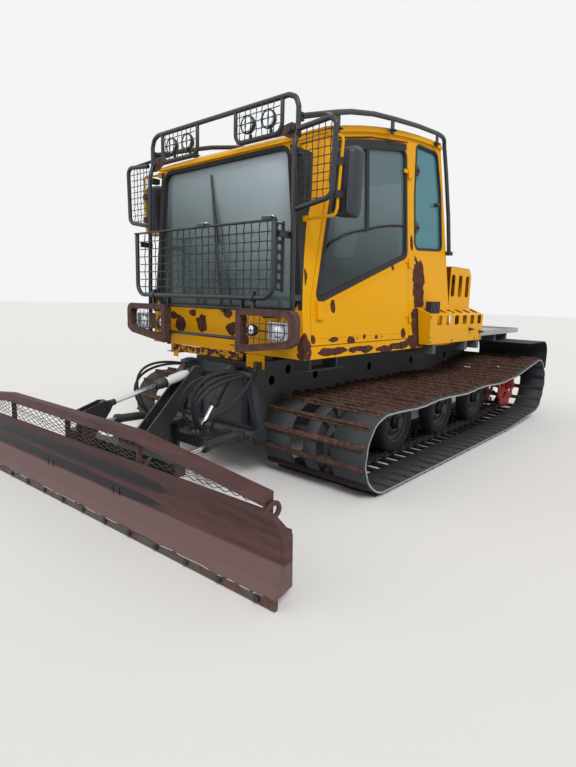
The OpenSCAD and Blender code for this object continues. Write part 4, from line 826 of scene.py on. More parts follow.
def window_rubbers():
    form = Form()
    line = filleted(SCREEN_LINE, 0.080, closed=True)
    form.ring(inset(line, -0.012), inset(line, 0.016), (-0.036, 0.005), on_front(), "black_rubber")
    form.ring(inset(line, 0.004), inset(line, 0.010), (0.003, 0.009), on_front(), "black_rubber")
    for side in (1, -1):
        line = filleted(QUARTER_CORNERS, QUARTER_RADII, closed=True)
        form.ring(inset(line, -0.008), inset(line, 0.014), (-0.022, 0.004), on_side(side), "black_rubber")
        form.prism(SURROUND, (-0.001, 0.0025), on_side(side), "black_rubber")
        band = sided(side, [(half_w(z) - draw, z) for z, draw in SURROUND_FRONT])
        form.prism(band, (-0.001, 0.0025), on_front(), "black_rubber")
    form.piece("window_rubbers", "black_rubber", bevel=0.001)


def quarter_fittings():
    """Half-round hinges at the front edge and a latch knob near the rear edge."""
    form = Form()
    for side in (1, -1):
        place = on_side(side)
        for x, z in ((-0.222, 2.442), (-0.181, 1.958)):
            arc = [(x - 0.050 * math.sin(math.pi * k / 10), z - 0.046 * math.cos(math.pi * k / 10))
                   for k in range(11)]
            form.prism(arc + [(x + 0.022, z + 0.030), (x + 0.022, z - 0.030)], (-0.014, 0.010), place,
                       "black_plastic")
            form.turned([(0.008, 0.016), (0.020, 0.015), (0.022, 0.010)],
                        out_of(place, x - 0.020, z), "black_plastic", 16)
        form.turned([(-0.014, 0.020), (0.004, 0.020), (0.010, 0.013), (0.024, 0.017), (0.027, 0.012)],
                    out_of(place, -0.608, 2.208), "black_plastic", 20)
    form.piece("quarter_fittings", "black_plastic", bevel=0.002)


# Doors

DOOR_WINDOW = [(door_rear(1.700) + 0.031, 1.700), (1.270, 1.300), (0.9416, cant_z(0.985) - 0.106),
               (0.480, cant_z(0.480) - 0.106), (door_rear(2.540) + 0.031, cant_z(-0.078) - 0.106)]
DOOR_RADII = (0.060, 0.030, 0.060, 0, 0.050)
# Along the dark band over the door's window
BAND_STEPS = (0.965, 0.80, 0.60, 0.40, 0.20, 0.05, -0.055)


def door_trim(name, side):
    body, place = name + "_door", on_side(side)
    form = Form()
    line = filleted(DOOR_WINDOW, DOOR_RADII, closed=True)
    form.ring(inset(line, -0.020), inset(line, 0.012), (-0.022, 0.005), place, "black_rubber")
    top = [(x, cant_z(x) - 0.050) for x in BAND_STEPS]
    low = [(x, cant_z(x) - 0.100) for x in reversed(BAND_STEPS)]
    form.prism(top + low, (-0.002, 0.0035), place, "black_rubber")
    # The sliding pane's upright, and the curved rail in the plane of the glass
    form.prism([(0.525, cant_z(0.53) - 0.110), (0.566, cant_z(0.56) - 0.110), (0.617, 1.832), (0.577, 1.840)],
               (-0.014, 0.000), place, "black_rubber")
    curve = [(1.150, 1.640), (1.060, 1.706), (0.900, 1.776), (0.740, 1.820), (0.600, 1.850), (0.420, 1.890),
             (0.220, 1.924), (0.020, 1.944)]
    form.tube([place(x, z, -0.007) for x, z in curve], 0.0105, "black_rubber", flat=0.6)
    form.piece(name + "_door_rubbers", "black_rubber", body, bevel=0.002)
    # Pressed edges of the door's skin
    form = Form()
    ridge = [(door_rear(1.655) + 0.040, 1.655), (1.246, 1.262), (1.268, 1.232), (1.262, 1.225),
             (1.240, 1.250), (door_rear(1.640) + 0.040, 1.640)]
    form.prism(ridge, (-0.001, 0.0035), place, "door_yellow")
    form.prism([(0.085, 1.052), (1.255, 1.052), (1.255, 1.060), (0.085, 1.060)], (-0.001, 0.003), place,
               "door_yellow")
    form.piece(name + "_door_pressings", "yellow_paint", body, bevel=0.001)
    for x in (0.10, 0.45, 0.80, 1.15):
        bolt(body, place(x, 1.035, 0), (0, side, 0.11), 0.006)


# Mirrors: a rounded head, its glass, and a bent tube from the pillar

MIRROR_OUTLINE = [(0.925, 1.842), (1.090, 1.822), (1.104, 1.880), (1.108, 2.215), (1.076, 2.245),
                  (0.970, 2.245), (0.944, 2.215)]
MIRROR_RADII = (0.030, 0.030, 0, 0.035, 0, 0, 0.03)
# Sections of the head from its glass to its back: x, and how far the outline draws in
MIRROR_SECTIONS = ((1.232, 0.006), (1.236, 0.0), (1.275, 0.0), (1.312, 0.008), (1.335, 0.022), (1.346, 0.040))
MIRROR_ARM = ((1.425, 0.735, 2.272), (1.400, 0.98, 2.296), (1.372, 1.046, 2.285), (1.372, 1.020, 1.870),
              (1.372, 1.005, 1.830), (1.360, 0.755, 1.826))


def mirrors():
    for side, name in SIDES:
        form, mirror = Form(), mirrored(side)
        outline = filleted(MIRROR_OUTLINE, MIRROR_RADII, 4, True)
        points = [(x, side * p.x, p.y) for x, draw in MIRROR_SECTIONS for p in inset(outline, draw)]
        form.shell(points, bands(len(MIRROR_SECTIONS), len(outline)), "mirror_black", True)
        rear = lambda u, v, w, side=side: Vector((MIRROR_SECTIONS[0][0] - w, side * u, v))
        form.prism(inset(outline, 0.012), (-0.002, 0.0012), rear, "rod_chrome")
        arm = filleted([mirror(p) for p in MIRROR_ARM], (0, 0.05, 0.03, 0.03, 0.03, 0), 5)
        form.tube(arm, 0.0095, "cab_yellow")
        for z in (1.95, 2.14):
            form.block((1.340, 1.014, z - 0.022), (1.386, 1.050, z + 0.022), "black_plastic", mirror)
        # Feet of the arm on the pillar
        for x, y, z in ((1.405, 0.725, 2.272), (1.350, 0.755, 1.826)):
            depth = 0.030 if z < 2 else 0.031
            form.block((x, y - 0.020, z - 0.018), (x + depth, y + 0.026, z + 0.018), "cab_yellow", mirror)
        form.piece(name + "_mirror", "black_plastic", replaces=("mirrors",), bevel=0.001)


# Guards of bent tube with crimped wire


def screen_guard():
    form = Form()
    half, far, low, top, x = 0.735, 0.770, 1.312, 1.795, 1.630
    frame_line = [(x, half, top - 0.006), (x, half, low), (x, -far, low), (x, -far, top - 0.006)]
    form.tube(filleted(frame_line, 0.088, 7), GUARD_TUBE, "tube_black", 14)
    form.block((x - 0.020, -far - 0.014, top - 0.009), (x + 0.020, half + 0.014, top + 0.001), "tube_black")
    outline = [(-far + 0.004, low + 0.07), (-far + 0.07, low + 0.004), (half - 0.07, low + 0.004),
               (half - 0.004, low + 0.07), (half - 0.004, top - 0.008), (-far + 0.004, top - 0.008)]
    wire_cloth(form, outline, (0.071, 0.0555), 0.0042, on_front(x - 0.021), "tube_black")
    for y in (0.055, 0.690):
        form.block((x - 0.026, y - 0.040, top - 0.004), (x + 0.026, y + 0.040, top + 0.018), "tube_black")
        form.turned([(-0.046, 0.008), (0.046, 0.008)], about("y", x, y, top + 0.018), "rod_chrome", 12)
    # Side plate with a row of holes, on the vehicle's left
    form.holed_strip(7, (0.086, 0.060), 0.020, lambda u, v, w: Vector((x - 0.066 + u, 0.722 + w, 1.362 + v)),
                     0.005, "tube_black")
    form.block((x - 0.110, 0.700, 1.350), (x - 0.104, 0.728, 1.795), "tube_black")
    # Hinge lugs
    for y in (0.555, -0.555):
        form.turned([(-0.020, 0.024), (0.020, 0.024)], about("y", x, y, low), "tube_black", 18)
        form.block((x - 0.022, y - 0.014, low - 0.006), (x + 0.006, y + 0.014, low + 0.044), "tube_black")
    form.piece("screen_guard_wirework", "black_paint", "screen_guard", ("screen_guard",), 0.0015)


def lamp_bar():
    form = Form()
    x = 1.470
    post = [(1.500, 0.795, 1.000), (1.500, 0.770, 2.250), (1.470, 0.770, 2.338), (1.470, 0.770, 2.480),
            (1.470, 0.747, 2.537), (1.470, 0.690, 2.560)]
    far = [mirrored(-1)(p) for p in reversed(post)]
    radii = (0, 0.10, 0.10, 0.05, 0.05, 0.06) + (0.06, 0.05, 0.05, 0.10, 0.10, 0)
    form.tube(filleted(post + far, radii, 4), GUARD_TUBE, "tube_black", 14)
    for side in (1, -1):
        cage = [(x, side * y, z) for y, z in ((0.635, 2.560), (0.635, 2.350), (0.205, 2.350), (0.205, 2.560))]
        form.tube(filleted(cage, 0.060, 6), 0.0135, "tube_black")
        # Rusty plate that joins the cage to the post
        plate = [(0.570, 2.330), (0.650, 2.392), (0.712, 2.400), (0.786, 2.368), (0.788, 2.300),
                 (0.740, 2.290), (0.640, 2.330)]
        form.prism(sided(side, plate), (0.028, 0.036), on_front(), "lamp_rust")
        lug = sided(side, ((0.675, 2.335), (0.745, 2.345), (0.740, 2.372), (0.690, 2.378)))
        form.prism(lug, (0.036, 0.052), on_front(), "lamp_rust")
        bolt("vehicle", (1.482, side * 0.715, 2.356), (1, 0, 0), 0.012)
        bolt("vehicle", (1.466, side * 0.618, 2.348), (1, 0, 0), 0.008)
        # Straps from the posts to the pillar
        for low, high, z in ((0.770, 0.806, 1.300), (0.735, 0.785, 2.200)):
            form.block((1.428, low, z), (1.500, high, z + 0.040), "tube_black", mirrored(side))
            bolt("vehicle", (1.478, side * 0.792, z + 0.02), (0, side, 0), 0.008)
    # Rests for the screen guard's top bar
    for side in (1, -1):
        form.block((1.500, 0.745, 1.690), (1.604, 0.765, 1.730), "tube_black", mirrored(side))
    form.piece("lamp_bar_tubes", "guard_paint", replaces=("lamp_bar",), bevel=0.0015)


# A round lamp's shell, rim and lens: ahead of the cab and away from the lamp's axis
LAMP_PARTS = (([(0.0, 0.026), (0.004, 0.040), (0.022, 0.056), (0.038, 0.060), (0.050, 0.060)],
               "black_plastic"),
              ([(0.050, 0.0600), (0.052, 0.0600), (0.052, 0.0540), (0.0505, 0.0535)], "black_plastic"),
              ([(0.0500, 0.0540), (0.0525, 0.0500), (0.0545, 0.0350), (0.0550, 0.0150)], "lamp_glass"))


def bar_lamps():
    """Two round lamps and a crimped-wire panel in each cage."""
    form = Form()
    for side in (1, -1):
        centre = side * 0.420
        panel = [(centre - 0.212, 2.352), (centre + 0.212, 2.352), (centre + 0.212, 2.556),
                 (centre - 0.212, 2.556)]
        wire_cloth(form, inset(filleted(panel, 0.05, 3, True), 0.002), (0.053, 0.050), 0.0034,
                   on_front(1.487), "tube_black")
        for k in (-0.095, 0.095):
            y = centre + k
            place = about("x", CAB_FRONT_X, y, 2.452)
            for profile, finish in LAMP_PARTS:
                form.turned(profile, place, finish, 28)
            form.block((1.436, y - 0.010, 2.395), (1.450, y + 0.010, 2.352), "black_plastic")
            bolt("vehicle", (1.443, y, 2.399), (0, 0, 1), 0.006)
        form.block((1.428, centre - 0.200, 2.344), (1.478, centre + 0.200, 2.350), "tube_black")
    form.piece("bar_lamp_fittings", "black_paint", replaces=("bar_lamps",), bevel=0.001)


RAIL_LINE = [(1.440, 2.428), (1.181, 2.515), (1.041, 2.561), (0.877, 2.610), (0.575, 2.678), (0.230, 2.732),
             (-0.166, 2.785), (-0.578, 2.825), (-0.681, 2.822), (-0.723, 2.803)]


def rail_y(x):
    """The rails come closer together towards the rear."""
    return 0.770 - 0.0395 * (1.475 - x)


def roof_rails():
    form = Form()
    for side in (1, -1):
        path = [(x, side * rail_y(x), z) for x, z in RAIL_LINE]
        path += [(-0.755, side * 0.668, 2.780), (-0.776, side * 0.698, 2.536), (-0.802, side * 0.742, 2.132),
                 (-0.796, side * 0.779, 1.785)]
        form.tube(filleted(path, [0] + [0.12] * (len(path) - 2) + [0], 2), 0.0185, "tube_black", 14)
        mirror = mirrored(side)
        for x in (1.040, 0.280, -0.560):
            y, z = rail_y(x), cant_z(x)
            rail = min(RAIL_LINE, key=lambda p, x=x: abs(p[0] - x))[1]
            form.block((x - 0.020, y - 0.006, z - 0.01), (x + 0.020, y + 0.006, max(rail, z + 0.03)),
                       "tube_black", mirror)
            form.block((x - 0.030, y - 0.020, z + 0.012), (x + 0.030, y + 0.028, z + 0.020), "tube_black",
                       mirror)
        form.block((1.426, 0.760, 2.400), (1.453, 0.780, 2.450), "tube_black", mirror)
        form.block((-0.840, 0.750, 1.765), (-0.770, 0.800, 1.800), "tube_black", mirror)
        bolt("vehicle", (-0.806, side * 0.800, 1.783), (0, side, 0), 0.009)
    form.piece("roof_rail_tubes", "guard_paint", replaces=("roof_rails",), bevel=0.0015)


# Side guards: out from the foot on the post, and up
GUARD_X, GUARD_FOOT = 1.500, 0.7946
GUARD_LOOP = ((0.000, 2.336), (0.250, 2.356), (0.290, 2.330), (0.275, 1.935), (0.240, 1.908), (0.004, 1.868))
GUARD_RADII = (0, 0.050, 0.050, 0.055, 0.055, 0)
GUARD_CLOTH = ((0.006, 1.874), (0.240, 1.914), (0.270, 1.945), (0.286, 2.322), (0.245, 2.350), (0.006, 2.332))


def side_guards():
    form = Form()
    for side in (1, -1):
        loop = [(GUARD_X, side * (GUARD_FOOT + dy), z) for dy, z in GUARD_LOOP]
        form.tube(filleted(loop, GUARD_RADII, 5), GUARD_TUBE, "tube_black", 14)
        brace = [(1.225, side * 0.797, 2.492), (1.330, side * 0.910, 2.440), (GUARD_X, side * 1.040, 2.352)]
        form.tube(filleted(brace, 0.1, 4), 0.0125, "tube_black")
        outline = sided(side, [(GUARD_FOOT + dy, z) for dy, z in GUARD_CLOTH])
        wire_cloth(form, outline, (0.0465, 0.0465), 0.0036, on_front(1.478), "tube_black")
    form.piece("side_guard_wirework", "guard_paint", replaces=("side_guards",), bevel=0.0015)


LIGHT_BOX = [(0.405, 0.943), (0.861, 1.001), (0.925, 1.036), (0.925, 1.240), (0.405, 1.240)]
HEADLAMP = [(0.672, 1.037), (0.838, 1.037), (0.838, 1.163), (0.672, 1.163)]
LIGHT_OPENING = [(0.449, 0.994), (0.846, 1.044), (0.881, 1.062), (0.881, 1.198), (0.449, 1.198)]


def light_boxes():
    form = Form()
    for side in (1, -1):
        outer = filleted(sided(side, LIGHT_BOX), (0.012, 0.040, 0.030, 0.060, 0.012), 5, True)
        hole = filleted(sided(side, LIGHT_OPENING), (0.010, 0.030, 0.020, 0.045, 0.010), 5, True)
        form.ring(outer, hole, (0.145, 0.208), on_front(), "lamp_rust")
        form.ring(inset(outer, -0.002), inset(outer, 0.008), (0.200, 0.2095), on_front(), "lamp_rust")
        form.ring(inset(hole, -0.008), inset(hole, 0.001), (0.200, 0.2095), on_front(), "lamp_rust")
        wire_cloth(form, hole, (0.056, 0.046), 0.0030, on_front(1.614), "tube_black")
        mirror = mirrored(side)
        # Square headlamp with a round lens and its small round neighbour
        bezel = filleted(sided(side, HEADLAMP), 0.014, 4, True)
        form.prism(bezel, (0.100, 0.160), on_front(), "lamp_silver")
        form.ring(bezel, inset(bezel, 0.012), (0.160, 0.170), on_front(), "lamp_silver")
        place = about("x", 1.590, side * 0.755, 1.100)
        form.turned([(0.0, 0.050), (0.006, 0.048), (0.010, 0.034), (0.012, 0.014)], place, "lamp_glass", 28)
        form.turned([(-0.002, 0.056), (0.008, 0.056), (0.008, 0.050)], place, "lamp_silver", 28)
        place = about("x", 1.540, side * 0.505, 1.096)
        form.turned([(0.0, 0.022), (0.010, 0.034), (0.030, 0.041), (0.052, 0.041), (0.056, 0.038)], place,
                    "black_plastic", 24)
        form.turned([(0.055, 0.038), (0.059, 0.030), (0.060, 0.012)], place, "lamp_glass", 24)
        form.block((1.572, 0.405, 1.090), (1.580, 0.700, 1.103), "tube_black", mirror)
        # Upright bar beside the opening, arms to the cab and the two tubes across
        form.block((1.571, 0.408, 0.930), (1.600, 0.424, 1.328), "tube_black", mirror)
        for z in (0.982, 1.182):
            form.block((1.428, 0.600, z), (1.575, 0.640, z + 0.024), "lamp_rust", mirror)
            bolt("vehicle", (1.50, side * 0.62, z + 0.024), (0, 0, 1), 0.008)
        form.block((1.610, 0.551, 1.236), (1.634, 0.569, 1.318), "tube_black", mirror)
        for z in (0.960, 1.270, 1.305):
            bolt("vehicle", (1.586, side * 0.424, z), (0, side, 0), 0.008)
    for z in (1.032, 1.237):
        form.tube([(1.585, -0.415, z), (1.585, 0.0, z), (1.585, 0.415, z)], 0.0125, "tube_black")
    form.piece("light_box_fittings", "rusty_steel", replaces=("light_boxes",), bevel=0.0015)


def wiper():
    form = Form()
    form.turned([(0.0, 0.022), (0.012, 0.022), (0.016, 0.014)], about("x", CAB_FRONT_X, 0.050, 1.222),
                "tube_black", 20)
    # The arm and its second rod
    form.tube([(1.447, 0.050, 1.222), (1.452, 0.048, 1.240), (1.450, 0.038, 1.300), (1.440, -0.030, 1.700),
               (1.428, -0.082, 2.000)],
              [0.008, 0.009, 0.008, 0.006, 0.0055], "tube_black")
    form.tube([(1.449, 0.066, 1.230), (1.446, 0.055, 1.300), (1.436, -0.022, 1.760), (1.424, -0.074, 2.000)],
              [0.005, 0.005, 0.004, 0.004], "tube_black", 8)
    # The blade, leaning as it is parked
    form.prism([(-0.034, 1.700), (-0.030, 1.700), (-0.116, 2.200), (-0.120, 2.200)], (-0.026, -0.018),
               on_front(), "black_rubber")
    form.tube([(1.414, -0.032, 1.700), (1.422, -0.075, 1.950), (1.414, -0.118, 2.200)],
              0.0060, "tube_black", 8)
    for z in (1.76, 1.88, 2.02, 2.14):
        y = -0.032 - 0.172 * (z - 1.700)
        form.block((1.408, y - 0.006, z - 0.006), (1.420, y + 0.006, z + 0.006), "tube_black")
    form.piece("wiper_arm", "black_plastic", replaces=("wiper",), bevel=0.001)


def front_sill():
    """The yellow strip under the front panel, with its hanging tabs."""
    form = Form()
    form.block((1.432, -0.590, 0.856), (1.440, 0.270, 0.912), "sill_yellow")
    form.block((1.432, -0.560, 0.905), (1.446, 0.240, 0.911), "sill_yellow")
    for low, high in ((0.310, 0.490), (-0.560, -0.500)):
        form.block((1.432, low, 0.812), (1.439, high, 0.912), "cab_yellow")
    form.piece("front_sill", "yellow_paint", bevel=0.002)


window_rubbers()
quarter_fittings()
for wall_side, wall_name in SIDES:
    door_trim(wall_name, wall_side)
mirrors()
screen_guard()
lamp_bar()
bar_lamps()
roof_rails()
side_guards()
light_boxes()
wiper()
front_sill()

# Tracks: rubber belts, steel bars, guide horns and wheels

WHEEL_Z, BELT_R, SPROCKET_R = 0.3003, 0.2683, 0.302
SPROCKET_X, SPROCKET_Z = -2.290, 0.390
WHEELS_X = [1.055 - 0.850 * i for i in range(4)]
CREST_Z, SAG = WHEEL_Z + BELT_R + 0.0012, 0.016
BELT_BANDS = ((0.395, 0.660), (0.780, 0.890), (1.020, 1.300))
BAR_COUNT, BAR_SPAN = 60, (0.385, 1.275)


def arc(x, z, radius, start, end, count):
    """Points on a circle, from one angle to another in degrees."""
    angles = [math.radians(start + (end - start) * k / count) for k in range(count + 1)]
    return [(x + radius * math.cos(a), z + radius * math.sin(a)) for a in angles]


def belt_line():
    """The middle of the belt's thickness, along and up, from the lowest front point round the front wheel."""
    run_x, run_z = WHEELS_X[-1] - SPROCKET_X, WHEEL_Z - SPROCKET_Z
    narrowing = math.asin((SPROCKET_R - BELT_R) / math.hypot(run_x, run_z))
    slope = math.degrees(math.atan2(-run_z, run_x) - narrowing)
    rise = CREST_Z - SPROCKET_Z
    top = 90 + math.degrees(math.atan2(rise, run_x) - math.asin(SPROCKET_R / math.hypot(run_x, rise)))
    line = arc(WHEELS_X[0], WHEEL_Z, BELT_R, -90, 90, 22)[:-1]
    for k in range(61):
        x = WHEELS_X[0] + (WHEELS_X[-1] - WHEELS_X[0]) * k / 60
        line.append((x, CREST_Z - SAG * math.sin(math.pi * k / 20) ** 2))
    line += arc(SPROCKET_X, SPROCKET_Z, SPROCKET_R, top, 270 - slope, 26)
    line += arc(WHEELS_X[-1], WHEEL_Z, BELT_R, 270 - slope, 270, 3)
    return [Vector((x, 0, z)) for x, z in line]


def points_along(line, count):
    """Evenly spaced places on a closed line, each with the line's direction."""
    closed = line + line[:1]
    lengths = [0.0]
    for a, b in zip(closed, closed[1:]):
        lengths.append(lengths[-1] + (b - a).length)
    places, k = [], 0
    for i in range(count):
        s = (i + 0.5) * lengths[-1] / count
        while lengths[k + 1] < s:
            k += 1
        t = (s - lengths[k]) / (lengths[k + 1] - lengths[k])
        places.append((closed[k].lerp(closed[k + 1], t), (closed[k + 1] - closed[k]).normalized()))
    return places


def points_tree(name, inputs):
    """A geometry tree over points, with named inputs: name, socket kind, default or None."""
    tree = bpy.data.node_groups.new(name, "GeometryNodeTree")
    inputs = [("Geometry", "NodeSocketGeometry", None), *inputs, ("Finish", "NodeSocketMaterial", None)]
    for title, kind, default in inputs:
        socket = tree.interface.new_socket(title, in_out="INPUT", socket_type=kind)
        if default is not None:
            socket.default_value = default
    tree.interface.new_socket("Geometry", in_out="OUTPUT", socket_type="NodeSocketGeometry")
    return tree, tree.nodes.new("NodeGroupInput").outputs


def set_on_points(tree, given, part, rotation, scale):
    """Ends a tree with the part at every point, as real geometry in the given finish."""
    placed = add(tree, "GeometryNodeInstanceOnPoints", {
        "Points": given["Geometry"], "Instance": part, "Rotation": rotation, "Scale": scale})
    real = add(tree, "GeometryNodeRealizeInstances", {0: placed.outputs[0]})
    finished = add(tree, "GeometryNodeSetMaterial", {0: real.outputs[0], "Material": given["Finish"]})
    tree.links.new(finished.outputs[0], tree.nodes.new("NodeGroupOutput").inputs[0])
    return tree


def attribute(tree, name, kind):
    return add(tree, "GeometryNodeInputNamedAttribute", {"Name": name}, data_type=kind).outputs[0]


def repeats_tree():
    """Copies one part to every point, turned as the point's attribute says."""
    tree, given = points_tree("repeats", [("Part", "NodeSocketObject", None), ("Size", FLOAT, 1.0)])
    part = add(tree, "GeometryNodeObjectInfo", {"Object": given["Part"]})
    rotation = add(tree, "FunctionNodeEulerToRotation", {0: attribute(tree, "turn", "FLOAT_VECTOR")})
    return set_on_points(tree, given, part.outputs["Geometry"], rotation.outputs[0], given["Size"])


def from_points(name, points, attributes, tree, **inputs):
    """The plain mesh that a tree makes of points.
    attributes: for each name, its kind, its field and its values."""
    data = bpy.data.meshes.new(name)
    data.from_pydata(points, [], [])
    for title, (kind, _, _) in attributes.items():
        data.attributes.new(title, kind, "POINT")
    for title, (_, field, values) in attributes.items():
        data.attributes[title].data.foreach_set(field, values)
    made = new_object(name, data)
    modifier = made.modifiers.new("points", "NODES")
    modifier.node_group = tree
    sockets = {item.name: item.identifier for item in tree.interface.items_tree if item.in_out == "INPUT"}
    for title, value in inputs.items():
        modifier[sockets[title]] = value
    plain = bpy.data.meshes.new_from_object(made.evaluated_get(bpy.context.evaluated_depsgraph_get()))
    made.modifiers.remove(modifier)
    made.data = plain
    return made


REPEATS = repeats_tree()


def repeat(name, form, rows, finish, replaces):
    """A form at every row. rows: a place and its three axes, as a 3x3 matrix's columns."""
    pattern_mesh = bpy.data.meshes.new(name + "_pattern")
    form.mesh.to_mesh(pattern_mesh)
    form.mesh.free()
    pattern = new_object(name + "_pattern", pattern_mesh)
    turns = [angle for _, way in rows for angle in way.to_euler("XYZ")]
    made = from_points(name, [place for place, _ in rows], {"turn": ("FLOAT_VECTOR", "vector", turns)},
                       REPEATS, Part=pattern, Finish=MATERIALS[finish])
    bpy.data.objects.remove(pattern)
    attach(made, "vehicle")
    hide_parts(*replaces)


def axes(x, y, z):
    return Matrix((x, y, z)).transposed()


def belts(side, name):
    form = Form()
    line = belt_line()
    n = len(line)
    outward = []
    for i in range(n):
        along = (line[(i + 1) % n] - line[i - 1]).normalized()
        outward.append(Vector((along.z, 0, -along.x)))
    for low, high in BELT_BANDS:
        edge = high == BELT_BANDS[-1][1]
        points = []
        for i in range(n):
            wave = 0.0025 * math.sin(i * 1.7) + 0.002 * math.sin(i * 0.61) if edge else 0.0
            for y, w in ((low, -0.006), (high - 0.003 + wave, -0.006), (high - 0.0025 + wave, -0.003),
                         (high - 0.0025 + wave, 0.003), (high - 0.003 + wave, 0.006), (low, 0.006)):
                p = line[i] + outward[i] * w
                points.append((p.x, side * y, p.z))
        form.shell(points, bands(n, 6, True), "belt_rubber", True)
        if edge:
            pale = form.finish_index("belt_edge")
            for face in form.mesh.faces:
                if abs(face.calc_center_median().y) > high - 0.010 and abs(face.normal.y) > 0.3:
                    face.material_index = pale
                    face.smooth = False
    form.piece(name + "_belts", "track_rubber", replaces=(name + "_track",))


def bar_pattern():
    """A bar across the belts: along the belt, across and outwards."""
    form = Form()
    profile = [(-0.0230, 0.0035), (0.0230, 0.0035), (0.0230, 0.0095), (0.0130, 0.0150), (0.0110, 0.0290),
               (0.0085, 0.0318), (-0.0085, 0.0318), (-0.0110, 0.0290), (-0.0130, 0.0150), (-0.0230, 0.0095)]
    low, high = BAR_SPAN
    form.prism(profile, (low, high), crosswise, "bar_rust")
    # Bolt heads along the bar's outer face
    for k in range(14):
        head = about("z", 0, low + 0.035 + k * (high - low - 0.070) / 13, -0.0018)
        form.turned([(0.0315, 0.0072), (0.0335, 0.0068), (0.0338, 0.003)], head, "bar_rust", 6, False)
    return form


def horn_pattern():
    """Backing plates and guide horns inside the belts."""
    form = Form()
    foot = [(-0.016, -0.0102), (0.016, -0.0102), (0.019, -0.0055), (-0.019, -0.0055)]
    horn = [(-0.024, -0.006), (0.024, -0.006), (0.017, -0.040), (0.009, -0.062), (-0.009, -0.062),
            (-0.017, -0.040)]
    for low, high in BELT_BANDS:
        form.prism(foot, (low + 0.012, high - 0.015), crosswise, "hitch_black")
        for y in (low + 0.045, (low + high) / 2, high - 0.050):
            form.turned([(-0.009, 0.008), (-0.015, 0.008), (-0.016, 0.005)], about("z", 0, y, 0),
                        "hitch_black", 6, False)
    for y in (0.752, 0.918):
        form.prism(horn, (y - 0.005, y + 0.005), crosswise, "hitch_black")
    return form


def track(side, name):
    belts(side, name)
    rows = [(place, axes(along, Vector((0, 1, 0)), Vector((along.z, 0, -along.x))))
            for place, along in points_along(belt_line(), BAR_COUNT)]
    for part, pattern, finish, slot in (("bars", bar_pattern(), "bar_rust", "rusty_steel"),
                                        ("guide_horns", horn_pattern(), "hitch_black", "worn_steel")):
        repeat(name + "_" + part, pattern if side > 0 else flipped(pattern), rows, finish,
               (name + "_track",))


def flipped(form):
    """The same pattern for the other side of the vehicle."""
    bmesh.ops.transform(form.mesh, matrix=Matrix.Scale(-1, 4, (0, 1, 0)), verts=form.mesh.verts)
    bmesh.ops.recalc_face_normals(form.mesh, faces=form.mesh.faces)
    return form


def road_wheels():
    """Rubber tyres on dished steel rims, with hubs and wheel bolts."""
    tyre = [(0.020, 0.262), (0.0, 0.2635), (-0.020, 0.262), (-0.044, 0.256), (-0.058, 0.244), (-0.063, 0.226),
            (-0.062, 0.205), (-0.056, 0.182), (-0.050, 0.164), (-0.040, 0.158), (0.040, 0.158),
            (0.050, 0.164), (0.056, 0.182), (0.062, 0.205), (0.063, 0.226), (0.058, 0.244), (0.044, 0.256)]
    rim = [(0.052, 0.166), (0.050, 0.172), (0.044, 0.160), (0.024, 0.150), (0.020, 0.125), (0.030, 0.095),
           (0.034, 0.075), (0.026, 0.060), (-0.006, 0.060), (-0.006, 0.120), (-0.020, 0.150), (-0.044, 0.160),
           (-0.050, 0.172), (-0.052, 0.166), (-0.036, 0.152), (0.036, 0.152)]
    for side, name in SIDES:
        form = Form()
        for x in WHEELS_X:
            place = about("y", x, side * 0.835, WHEEL_Z, side)
            form.revolved(tyre, place, "tyre_rubber", 48)
            form.revolved(rim, place, "blue_black", 40)
            hub = [(0.020, 0.058), (0.052, 0.056), (0.070, 0.044), (0.078, 0.026)]
            form.turned(hub, place, "hitch_black", 24)
            for k in range(5):
                angle = math.radians(72 * k + 18)
                spot = (x + 0.105 * math.cos(angle), side * 0.8625, WHEEL_Z + 0.105 * math.sin(angle))
                bolt("vehicle", spot, (0, side, 0), 0.012)
        form.piece(name + "_road_wheels", "tyre", replaces=("wheels",))


for track_side, track_name in SIDES:
    track(track_side, track_name)
road_wheels()

# Engine cover: folded sheet with rounded openings


def rounded_slot(x, z, width, height, radius=0.018):
    w, h = width / 2, height / 2
    return filleted([(x - w, z - h), (x + w, z - h), (x + w, z + h), (x - w, z + h)], radius, 3, True)


# The sheet's thickness, inwards from its outer face
SHEET = (-0.005, 0)


